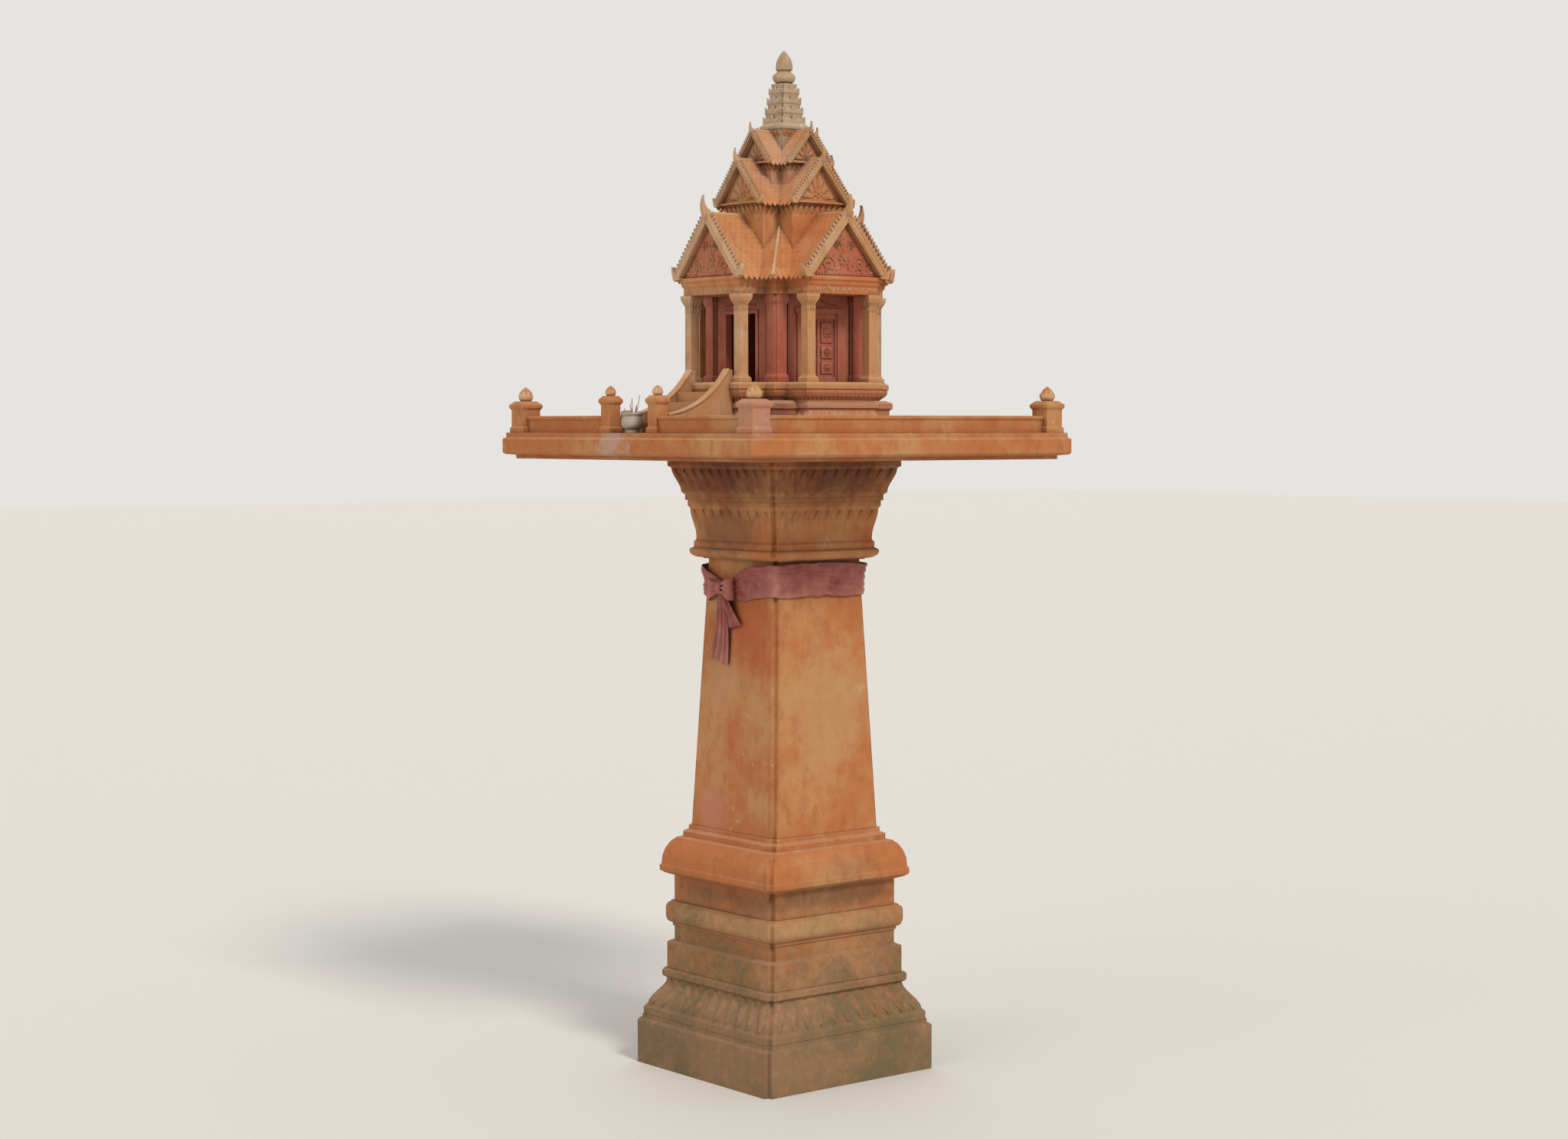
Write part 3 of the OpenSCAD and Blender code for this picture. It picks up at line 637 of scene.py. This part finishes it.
def add_porch_sides(bm, side, middle):
    """Adds side, made for a front face, to both sides of the front porch, middle in front of the centre."""
    move(side, at(0, -middle, 0) @ Matrix.Rotation(pi / 2, 4, "Z"))
    mirrored(side)
    bm.from_mesh(template(side, "porch side"))


# The foot, the capital and the platform's support, as the casting has them, with the number and depth of the petals
petals = bmesh.new()
lotus_course(petals, 200, 189, (24, 132), (-8, 193), 11, 5.0, upwards=False)
lotus_course(petals, 148, 137, (-4, 1189), (6, 1252), 9, 4.4)
lotus_course(petals, 190, 179, (-22, 1288), (-6, 1342), 11, 5.6)
four_sides(petals)
piece("pedestal_petals", petals, ORANGE)

petals, side = bmesh.new(), bmesh.new()
for bm, out, wide, large, small in ((petals, BASE_OUT, BASE_HALF, 9, 17), (side, BASE_HALF, BASE_SIDE_HALF, 3, 6)):
    lotus_course(bm, out, wide, (15, DECK_Z + 16), (-2, DECK_Z + 50), large, 2.4, upwards=False)
    lotus_course(bm, out, wide, (-3, DECK_Z + 70), (8, DECK_Z + 83), small, 1.5)
add_porch_sides(petals, side, BASE_SIDE_AT + 2)
four_sides(petals)
piece("shrine_base_petals", petals, ROOF)

capitals = bmesh.new()
lotus_course(capitals, 11, 11, (0, FLOOR_Z + 164), (6, FLOOR_Z + 180), 3, 1.3)
lotus_course(capitals, 11, 11, (0.5, FLOOR_Z + 152), (0.6, FLOOR_Z + 164), 3, 1.0, upwards=False)
four_sides(capitals)
move(capitals, at(COLUMN_X, COLUMN_Y, 0))
mirrored(capitals)
four_sides(capitals)
piece("column_capital_petals", capitals, TRIM)

# %% [markdown]
# Necks between the roofs
#
# Each upper roof stands on a cross-shaped neck. A course of upright petals runs round its four arms under the eaves,
# and small rosettes run along the beam under the lowest roof.

# %% Neck petals and beam flowers
necks = bmesh.new()
for half, out, low_z, eave, large, small, depth in (
        (NECK_HALF, NECK_OUT, UPPER_EAVE_Z - 24, UPPER_EAVE_Z, 9, 3, 2.0),
        (TOP_NECK_HALF, TOP_NECK_OUT, TOP_EAVE_Z - 18, TOP_EAVE_Z, 8, 2, 1.6)):
    side = bmesh.new()
    lotus_course(necks, out, half, (0, low_z), (3, eave - 2), large, depth)
    lotus_course(side, half, (out - half) / 2, (0, low_z), (3, eave - 2), small, depth)
    add_porch_sides(necks, side, (out + half) / 2)
lotus_course(necks, SPIRE_HALF, SPIRE_HALF - 4, (0, TOP_RIDGE_Z - 10), (2.5, TOP_RIDGE_Z + 5), 6, 1.5)
four_sides(necks)
piece("neck_petals", necks, ORANGE)

flowers, side = bmesh.new(), bmesh.new()
for bm, out, wide, count in ((flowers, BASE_OUT, BASE_HALF, 11), (side, BASE_HALF, BASE_SIDE_HALF, 4)):
    for number in range(count):
        rosette(bm, wide * (2 * (number + 0.5) / count - 1), BEAM_Z + 9, -out - 2, 6.2, 6, 1.6)
add_porch_sides(flowers, side, BASE_SIDE_AT)
four_sides(flowers)
piece("beam_flowers", flowers, TRIM)

# %% [markdown]
# Bargeboards and gables
#
# Leaf teeth lean up the edge of every bargeboard, and two beads run along its face. In the lowest gables a rosette
# stands between two scrolls. The upper ones are too small for more than a flower with leaves.

# %% Teeth and beads of the bargeboards
def board_trim(bm, half, eave, out, size, count):
    """Teeth and beads on the right board of the front gable. size is how large it is beside the porch's board."""
    lift, thick = 6 * size, 12 * size
    top = Vector((0, 0, eave + half * RISE + lift / cos(PITCH)))
    foot = Vector((half + lift, 0, eave + lift * 0.2))
    down = (foot - top).normalized()
    outwards = Vector((-down.z, 0, down.x))
    for number in range(count):
        place = top.lerp(foot, 0.1 + 0.8 * number / (count - 1))
        place.y = -out - thick / 2
        stamp(bm, TOOTH, facing(place, down, outwards, (9 * size, 11 * size, 5 * size)))
    for inset in (5, 14):
        start, end = top - outwards * inset * size, foot - outwards * inset * size
        start.y = end.y = -out - thick
        bar_between(bm, start.lerp(end, 0.03), start.lerp(end, 0.93), 1.5 * size, segments=6)


teeth = bmesh.new()
board_trim(teeth, PORCH_HALF, EAVE_Z, PORCH_OUT, 1.0, 15)
board_trim(teeth, UPPER_HALF, UPPER_EAVE_Z, UPPER_OUT, 0.72, 14)
board_trim(teeth, TOP_HALF, TOP_EAVE_Z, TOP_OUT, 0.6, 12)
mirrored(teeth)
four_sides(teeth)
piece("bargeboard_teeth", teeth, TRIM)


# %% Coiled stems with leaves
def stem(bm, points, thick, thin, wall, proud):
    """A tapering stem that follows points in the plane of a gable, and bulges out of its wall."""
    section = ((-1, -0.4), (-0.75, 0.6), (0, 1), (0.75, 0.6), (1, -0.4))
    last = len(points) - 1
    rings = []
    for number, (x, z) in enumerate(points):
        along = (Vector(points[min(last, number + 1)]) - Vector(points[max(0, number - 1)])).normalized()
        radius = thick + (thin - thick) * number / last
        rings.append([bm.verts.new((x - along.y * a * radius, wall - b * proud, z + along.x * a * radius))
                      for a, b in section])
    for ring, following in zip(rings, rings[1:]):
        for a in range(5):
            bm.faces.new((ring[a], ring[(a + 1) % 5], following[(a + 1) % 5], following[a]))
    bm.faces.new(rings[0])
    bm.faces.new(rings[-1])


def scroll(bm, x, z, large, wall, proud, leaves):
    """A stem that coils clockwise round x, z for one and a half turns, with leaves along its back."""
    points = []
    for step in range(27):
        t = step / 26
        angle, radius = radians(190 - 560 * t), large + (large * 0.1 - large) * t ** 0.8
        points.append((x + radius * cos(angle), z + radius * sin(angle)))
    stem(bm, points, large * 0.13, large * 0.06, wall, proud)
    for leaf_x, leaf_z in points[2:2 + 3 * leaves:3]:
        outwards = degrees(atan2(leaf_x - x, leaf_z - z))
        petal_at(bm, leaf_x, leaf_z, wall, outwards + 50, (large * 0.3, large * 0.55, proud))


# %% Fill the gables
wall = -PORCH_OUT + 3
gable = bmesh.new()
scroll(gable, 45, EAVE_Z + 25, 20, wall, 3.4, 5)
scroll(gable, 19, EAVE_Z + 66, 10, wall, 3.0, 4)
for x, z, angle, size in ((74, 8, 75, 16), (66, 14, 30, 14), (22, 12, -60, 15), (12, 56, 20, 14), (10, 88, 15, 12)):
    petal_at(gable, x, EAVE_Z + z, wall, angle, (size * 0.5, size, 3))
for x in range(4, 92, 8):
    bmesh.ops.create_icosphere(gable, subdivisions=1, radius=2.1, matrix=at(x, wall - 0.6, EAVE_Z + 3.5))
mirrored(gable)
rosette(gable, 0, EAVE_Z + 36, wall, 15, 8, 3.6)
for size, z in ((26, 80), (16, 54)):
    petal_at(gable, 0, EAVE_Z + z, wall, 0, (size * 0.5, size, 3.6))
four_sides(gable)
piece("gable_scrolls", gable, ORANGE)

gable = bmesh.new()
for eave, out, size in ((UPPER_EAVE_Z, UPPER_OUT, 1.0), (TOP_EAVE_Z, TOP_OUT, 0.7)):
    wall = -out + 9
    rosette(gable, 0, eave + 22 * size, wall, 11 * size, 6, 2.6)
    petal_at(gable, 0, eave + 36 * size, wall, 0, (13 * size, 26 * size, 3))
    for side in (-size, size):
        for x, z, angle, tall in ((11, 14, 96, 24), (13, 22, 62, 19), (8, 32, 30, 17), (34, 11, 80, 16)):
            petal_at(gable, side * x, eave + z * size, wall, copysign(angle, side),
                     (tall * 0.42 * size, tall * size, 2.4))
four_sides(gable)
piece("upper_gable_leaves", gable, ORANGE)

# %% [markdown]
# Doors
#
# Three walls carry a closed double door in relief. Its leaves get raised fields, rosettes and ring pulls. Over each
# door, and over the open doorway, stands a crest of leaves, and the doorway itself gets a moulded frame.

# %% Door leaves, frame and crests
def block(bm, low, high):
    low, high = Vector(low), Vector(high)
    place = Matrix.Translation((low + high) / 2) @ Matrix.Diagonal((*(high - low), 1))
    bmesh.ops.create_cube(bm, size=1, matrix=place)


def soften(bm, edges, width):
    bmesh.ops.bevel(bm, geom=edges, offset=width, offset_type="OFFSET", affect="EDGES", segments=2, profile=0.5,
                    material=-1)


def crest(bm):
    """Leaves over a door of the front, the tallest in the middle, leaning a little outwards."""
    for x, tall in ((0, 22), (11, 18), (21, 14), (30, 11), (39, 9), (48, 8)):
        for side in ((-1, 1) if x else (1,)):
            petal_at(bm, side * x, FLOOR_Z + 162, -WALL_OUT, side * x * 0.35, (11, tall, 3.4))


face = -WALL_OUT + 1.4
leaf = bmesh.new()
for low, high in ((86, 132), (52, 80), (18, 46)):
    block(leaf, (8, -WALL_OUT + 1.2, FLOOR_Z + low), (42, -WALL_OUT + 5, FLOOR_Z + high))
soften(leaf, leaf.edges[:], 2.2)
for z, radius in ((109, 13), (66, 9.5), (32, 9.5)):
    rosette(leaf, 25, FLOOR_Z + z, face, radius, 8, 2.2)
upright = Matrix.Rotation(pi / 2, 4, "X")
ring = bmesh.new()
bmesh.ops.create_circle(ring, segments=6, radius=0.8, matrix=at(4, 0, 0) @ upright)
bmesh.ops.spin(ring, geom=everything(ring), cent=(0, 0, 0), axis=(0, 0, 1), angle=tau, steps=16, use_merge=True)
stamp(leaf, template(ring, "ring"), at(5.5, face, FLOOR_Z + 66) @ upright)
mirrored(leaf)
crest(leaf)
door = template(leaf, "door")
doors = bmesh.new()
for quarter in (1, 2, 3):
    stamp(doors, door, Matrix.Rotation(pi / 2 * quarter, 4, "Z"))
piece("door_relief", doors, RED)

doorway = bmesh.new()
block(doorway, (52, -WALL_OUT - 3.5, FLOOR_Z), (60, -WALL_OUT, FLOOR_Z + 150))
block(doorway, (0, -WALL_OUT - 3.5, FLOOR_Z + 150), (60, -WALL_OUT, FLOOR_Z + 158))
soften(doorway, doorway.edges[:], 1)
mirrored(doorway)
crest(doorway)
piece("doorway_trim", doorway, RED)

# %% [markdown]
# Coping of the stair
#
# The two walls beside the stair sweep up in one curve. A coping stone follows it and ends in a small roll. Its side
# view is the wall's own curve and the same curve 5 mm higher, as one flat plate that gets the coping's width.

# %% Coping of the stair walls
def bend(curve, t):
    """The point at t on a curve from the first of three points to the last, which the second one pulls."""
    first, pull, last = (Vector(point) for point in curve)
    return first * (1 - t) ** 2 + pull * 2 * t * (1 - t) + last * t * t


WALL_SWEEP = ((390, 1454), (273, 1464), (211, 1556))
STAIR_WALL_X, ROLL_Y, ROLL_Z = 66, -384, 1460
COPING_THICKNESS, COPING_WIDTH = 5, 20
sweep = [bend(WALL_SWEEP, step / 8) for step in range(9)]
raised = []
for number, point in enumerate(sweep):
    along = (sweep[min(8, number + 1)] - sweep[max(0, number - 1)]).normalized()
    raised.append(point + Vector((along.y, -along.x)) * COPING_THICKNESS)
coping = bmesh.new()
stamp(coping, plate_template("coping", sweep + raised[::-1]),
      facing((STAIR_WALL_X, 0, 0), (0, -1, 0), (0, 0, 1), (1, 1, COPING_WIDTH)))
soften(coping, [e for e in coping.edges if e.calc_face_angle(0) > 0.7], 1.2)
bar_between(coping, (STAIR_WALL_X - COPING_WIDTH / 2, ROLL_Y, ROLL_Z),
            (STAIR_WALL_X + COPING_WIDTH / 2, ROLL_Y, ROLL_Z), 8.5, segments=20)
mirrored(coping)
piece("stair_coping", coping, TRIM, smooth=35)

# %% [markdown]
# Lotus buds
#
# The posts end in lotus buds and the spire in a bulb. Petals go round these turned forms as along the mouldings: the
# profile, a curve with one bend, is worked out again, and the petals are laid on it.

# %% Petals of the buds
def bud_petals(bm, curve, count, cover, depth, shift=0.0):
    """Petals round a turned form with a [radius, height] profile. cover is how far up it they reach."""
    def laid(u, v, proud):
        profile = bend(curve, v * cover)
        angle = tau * (number + shift + u * 0.96) / count
        radius = profile.x + proud * depth
        return radius * cos(angle), radius * sin(angle), profile.y

    for number in range(count):
        stamp(bm, PETAL, laid)


def bud(bm, post_width, x, y):
    radius, height = post_width * 0.30, post_width * 0.62
    curve = ((radius * 0.7, 0), (radius * 1.5, height * 0.42), (0, height))
    one = bmesh.new()
    bud_petals(one, curve, 6, 0.86, 1.4)
    bud_petals(one, curve, 6, 0.52, 2.6, shift=0.5)
    stamp(bm, template(one, "bud"), at(x, y, POST_TOP_Z - height))


buds = bmesh.new()
for x in (-POST_AT, POST_AT):
    for y in (-POST_AT, POST_AT):
        bud(buds, POST_WIDTH, x, y)
for x in (-GATE_POST_X, GATE_POST_X):
    bud(buds, GATE_POST_WIDTH, x, -POST_AT)
piece("post_bud_petals", buds, TRIM)

# %% [markdown]
# Spire
#
# Small leaves stand on every ledge of the spire, one in the middle of each side and one near each corner, and petals
# wrap the bulb at its top.

# %% Leaves of the spire
leaves = bmesh.new()
for tier in range(4):
    reach, z = SPIRE_HALF - 4 - 3 * tier, TOP_RIDGE_Z + 20 + 22 * tier
    for x, wide, tall in ((0, 11, 15), (-reach + 5, 8, 12), (reach - 5, 8, 12)):
        size = (wide - tier, tall - tier, 2.4)
        stamp(leaves, PETAL, facing((x, -reach + 0.5, z + 4), (1, 0, 0), (0, -0.12, 1), size))
four_sides(leaves)
bulb = bmesh.new()
bud_petals(bulb, ((15, 0), (34, 13.3), (14, 28.1)), 9, 0.8, 1.8)
bud_petals(bulb, ((18, 31), (20, 51.8), (4, 71)), 7, 0.7, 1.3)
stamp(leaves, template(bulb, "bulb"), at(0, 0, TOP_RIDGE_Z + 108))
piece("spire_leaves", leaves, SPIRE)

# %% [markdown]
# Cloth round the neck
#
# A long satin sash is wound once round the shaft, gathered in flat pleats, and tied in a bow on the front. The shaft
# is a tapering square with cut-back corners, so the cloth spans each corner in a soft chamfer. Where a strip is drawn
# together, its folds grow deeper, because the cloth is as wide there as anywhere else.

# %% Weave, bleaching and painted highlight of the satin
SATIN, shader = blank("satin")
tree = SATIN.node_tree
# This attribute lightens the cloth towards pink: partly bleaching, partly a painted highlight where the sun catches
# the band
worn = add(tree, "Attribute", attribute_name="fade_and_highlight").outputs["Fac"]
blotches = add(tree, "TexNoise", {"Vector": add(tree, "TexCoord").outputs["Object"], "Scale": 34.0, "Detail": 4.0})
bleached = add(tree, "Math", {0: blotches, 1: worn}, operation="ADD")
bleached = add(tree, "MapRange", {0: bleached, 1: 0.4, 2: 1.5})
tint = add(tree, "Mix", {0: bleached, 6: linear("#7C2622"), 7: linear("#C38272")}, data_type="RGBA")
tree.links.new(tint.outputs[2], shader.inputs["Base Color"])
threads = add(tree, "TexWave", {"Vector": add(tree, "UVMap", uv_map="cut"), "Scale": 260.0, "Distortion": 0.6},
              wave_type="BANDS", bands_direction="Y").outputs["Fac"]
weave = add(tree, "Bump", {"Height": threads, "Strength": 0.25, "Distance": 0.0003})
tree.links.new(weave.outputs[0], shader.inputs["Normal"])
shader.inputs["Roughness"].default_value = 0.55
shader.inputs["Sheen Weight"].default_value = 0.5
shader.inputs["Sheen Roughness"].default_value = 0.4
shader.inputs["Sheen Tint"].default_value = linear("#C9A09A")
print(SATIN.name, len(tree.nodes), "nodes")


# %% Strips of cloth
def strip(bm, along, across, point, size, fade_and_highlight, closed=False):
    """A strip of cloth with point(t, u) from end to end and side to side. size is its cut length and width."""
    uv, worn = bm.loops.layers.uv.verify(), bm.verts.layers.float["fade_and_highlight"]
    rows = []
    for i in range(along if closed else along + 1):
        rows.append([bm.verts.new(point(i / along, j / across)) for j in range(across + 1)])
        for j, corner in enumerate(rows[-1]):
            corner[worn] = fade_and_highlight(i / along, j / across) if callable(fade_and_highlight) else fade_and_highlight
    for i in range(along):
        for j in range(across):
            ring = ((i, j), (i + 1, j), (i + 1, j + 1), (i, j + 1))
            face = bm.faces.new([rows[a % len(rows)][b] for a, b in ring])
            for loop, (a, b) in zip(face.loops, ring):
                loop[uv].uv = (a / along * size[0] * MM, b / across * size[1] * MM)


def depth_of(cut, seen, folds):
    """How deep the folds of a strip are that was cut to one width and is drawn together to another."""
    return sqrt(max(0.04, (cut / 4 / folds) ** 2 - (seen / 4 / folds) ** 2))


def swirl(*place):
    return noise(Vector(place))


# %% The band round the shaft
# The cloth's cut width, the knot's place, where the band starts in quarter turns, and its middle and its folds
CUT = 96
BOW_X, BOW_Z = -40, 1078
BOW_TURN = 0.34
BAND_Z, BAND_FOLDS = 1097, 4.5


def shaft_half(z):
    return 152 - 28 * (z - 540) / 600


def band_point(t, u):
    """The band, wound once round the shaft from the bow and back to it."""
    turn = 4 * t + BOW_TURN
    side, run = int(turn), 2 * (turn % 1) - 1
    angle = radians(90 * side - 90) + atan(run)
    near = min(t, 1 - t) * 4
    c, s = cos(angle), sin(angle)
    drawn = exp(-(near / 0.17) ** 2)
    half_height = 40 - 4 * (1 + swirl(c * 2.2, s * 2.2, 1)) - 23 * drawn
    middle = BAND_Z + 4 * swirl(c * 1.6, s * 1.6, 4) - (BAND_Z - BOW_Z) * exp(-(near / 0.3) ** 2)
    z = middle + half_height * (2 * u - 1) + 2.2 * swirl(c * 6, s * 6, u * 3)
    phase = BAND_FOLDS * u ** 1.15 + 1.5 * swirl(c * 1.5, s * 1.5, u * 1.3) + 0.35 * swirl(c * 5, s * 5, u * 3)
    deep = depth_of(CUT, 2 * half_height, BAND_FOLDS) * (0.5 + 0.42 * swirl(c * 2.6, s * 2.6, u * 2.4 + 7))
    crease = abs(sin(pi * phase)) ** 0.7
    off = 2.4 + 2 * deep * crease + 1.6 * (1 + swirl(c * 4, s * 4, u * 2.5)) + 0.5 * swirl(c * 22, s * 22, u * 9)
    off += 11 * u ** 1.6 * (1 - drawn)
    half = shaft_half(z)
    reach = ((abs(c) / half) ** 60 + (abs(s) / half) ** 60 + ((abs(c) + abs(s)) / (2 * half - 11)) ** 60) ** (-1 / 60)
    return (reach + off) * c, (reach + off) * s, z


def band_fade_and_highlight(t, u):
    """The band is lighter where it is stretched over a corner of the shaft and along its lower edge: partly
    bleaching, partly a painted highlight where the sun catches it.
    """
    run = abs(2 * ((4 * t + BOW_TURN) % 1) - 1)
    return 0.08 + 0.45 * run ** 6 + 0.25 * (1 - u) ** 3


# %% The bow and its ends
def loop_point(side, t, u):
    """One loop of the bow, which leaves the knot in front and comes back behind."""
    out = sin(pi * t)
    seen = 16 + 34 * out ** 0.8
    deep = depth_of(CUT * 0.66, seen, 3) * (1 - 0.72 * out)
    ripple = deep * cos(tau * (3 * u + 0.3 * swirl(t * 2, u * 2, side)))
    x = BOW_X + side * (3 + (35 + 2 * side) * out + 2 * swirl(t * 3, u * 2, 2))
    y = -149 - 11 * sin(tau * t) + ripple * (1 if t < 0.5 else 0.4)
    return x, y, BOW_Z + (u - 0.5) * seen + side * 2 * out - 4 * out ** 2


def knot_point(t, u):
    """The short piece that is wrapped over the middle of the bow."""
    angle, crown = tau * t, 1 - 0.3 * (2 * u - 1) ** 2
    ripple = 1 + 0.09 * cos(tau * (2.5 * u + 0.2 * sin(angle)))
    return (BOW_X + 18 * (u - 0.5), -147 - 14.5 * crown * ripple * cos(angle),
            BOW_Z + 14.5 * crown * ripple * sin(angle))


def tail_point(t, u, lean, length, wide, seed, over):
    """A hanging end. It leaves the knot drawn together and opens as it falls."""
    seen = 17 + (wide - 17) * t ** 0.75
    z = BOW_Z - 8 - length * t + t * 5 * sin(4 * u + seed) + (3 if over else -3) * (u - 0.5) * t
    deep = depth_of(CUT * 0.9, seen, 3) * 0.7
    ripple = deep * (1 + cos(tau * (3 * u + 0.35 * swirl(t * 1.6, u * 1.2, seed) + 0.1 * seed)))
    x = BOW_X + lean * t ** 1.15 + (u - 0.5) * seen + 2.5 * sin(3 * t + seed) * t
    clear = max(shaft_half(z) + 2.5, 137 - 6 * t)
    return x, -clear - ripple - (3 if over else 0), z


# %% Sew the sash
sash = bmesh.new()
sash.verts.layers.float.new("fade_and_highlight")
strip(sash, 260, 30, band_point, (1030, CUT), band_fade_and_highlight)
for side in (-1, 1):
    strip(sash, 44, 18, lambda t, u: loop_point(side, t, u), (92, CUT * 0.66), 0.5)
strip(sash, 36, 12, knot_point, (84, 40), 0.5, closed=True)
strip(sash, 48, 36, lambda t, u: tail_point(t, u, -12, 156, 62, 1.0, False), (156, CUT * 0.9), 0.45)
strip(sash, 34, 36, lambda t, u: tail_point(t, u, 18, 76, 84, 2.6, True), (76, CUT * 0.9), 0.1)
cloth_mesh = template(sash, "neck_cloth")
cloth_mesh.transform(Matrix.Scale(MM, 4))
cloth_mesh.uv_layers[0].name = "cut"
cloth_mesh.materials.append(SATIN)
cloth_mesh.shade_smooth()
cloth = put("neck_cloth", cloth_mesh)
thickness = cloth.modifiers.new("thickness", "SOLIDIFY")
thickness.thickness, thickness.offset = 0.0008, 0
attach(cloth, "root")
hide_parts("neck_sash", "sash_knot")
print("neck_cloth", len(cloth_mesh.polygons), "faces")

# %% [markdown]
# Incense pot
#
# The pot in the gap of the front kerb is filled with sand, in which a few burnt-down sticks still stand.

# %% Sand and sticks
POT = Vector((0, -416, DECK_Z + 40))
POT_RADIUS = 20
sand = bmesh.new()
bmesh.ops.create_circle(sand, cap_ends=True, cap_tris=True, segments=32, radius=POT_RADIUS)
bmesh.ops.subdivide_edges(sand, edges=sand.edges[:], cuts=3, use_grid_fill=True)
for point in sand.verts:
    middle = max(0, 1 - point.co.length / POT_RADIUS)
    point.co.z = 0.2 + 3.2 * middle + 1.4 * middle ** 0.5 * noise(point.co * 0.35)
move(sand, at(*POT))
piece("pot_sand", sand, CEMENT, smooth=80)

sticks = bmesh.new()
for x, y, lean_x, lean_y, tall in ((3, -4, 4, -2, 34), (-6, 2, -7, 1, 22), (7, 5, 6, 5, 41), (-2, 9, -3, 6, 17),
                                   (0, 1, 1, -4, 28), (-9, -6, -6, -5, 13), (11, -3, 9, -1, 19)):
    foot = POT + Vector((x, y, -3))
    bar_between(sticks, foot, foot + Vector((lean_x, lean_y, tall + 3)), 0.9, segments=6, tip=0.7)
piece("incense_sticks", sticks, RED, smooth=60)
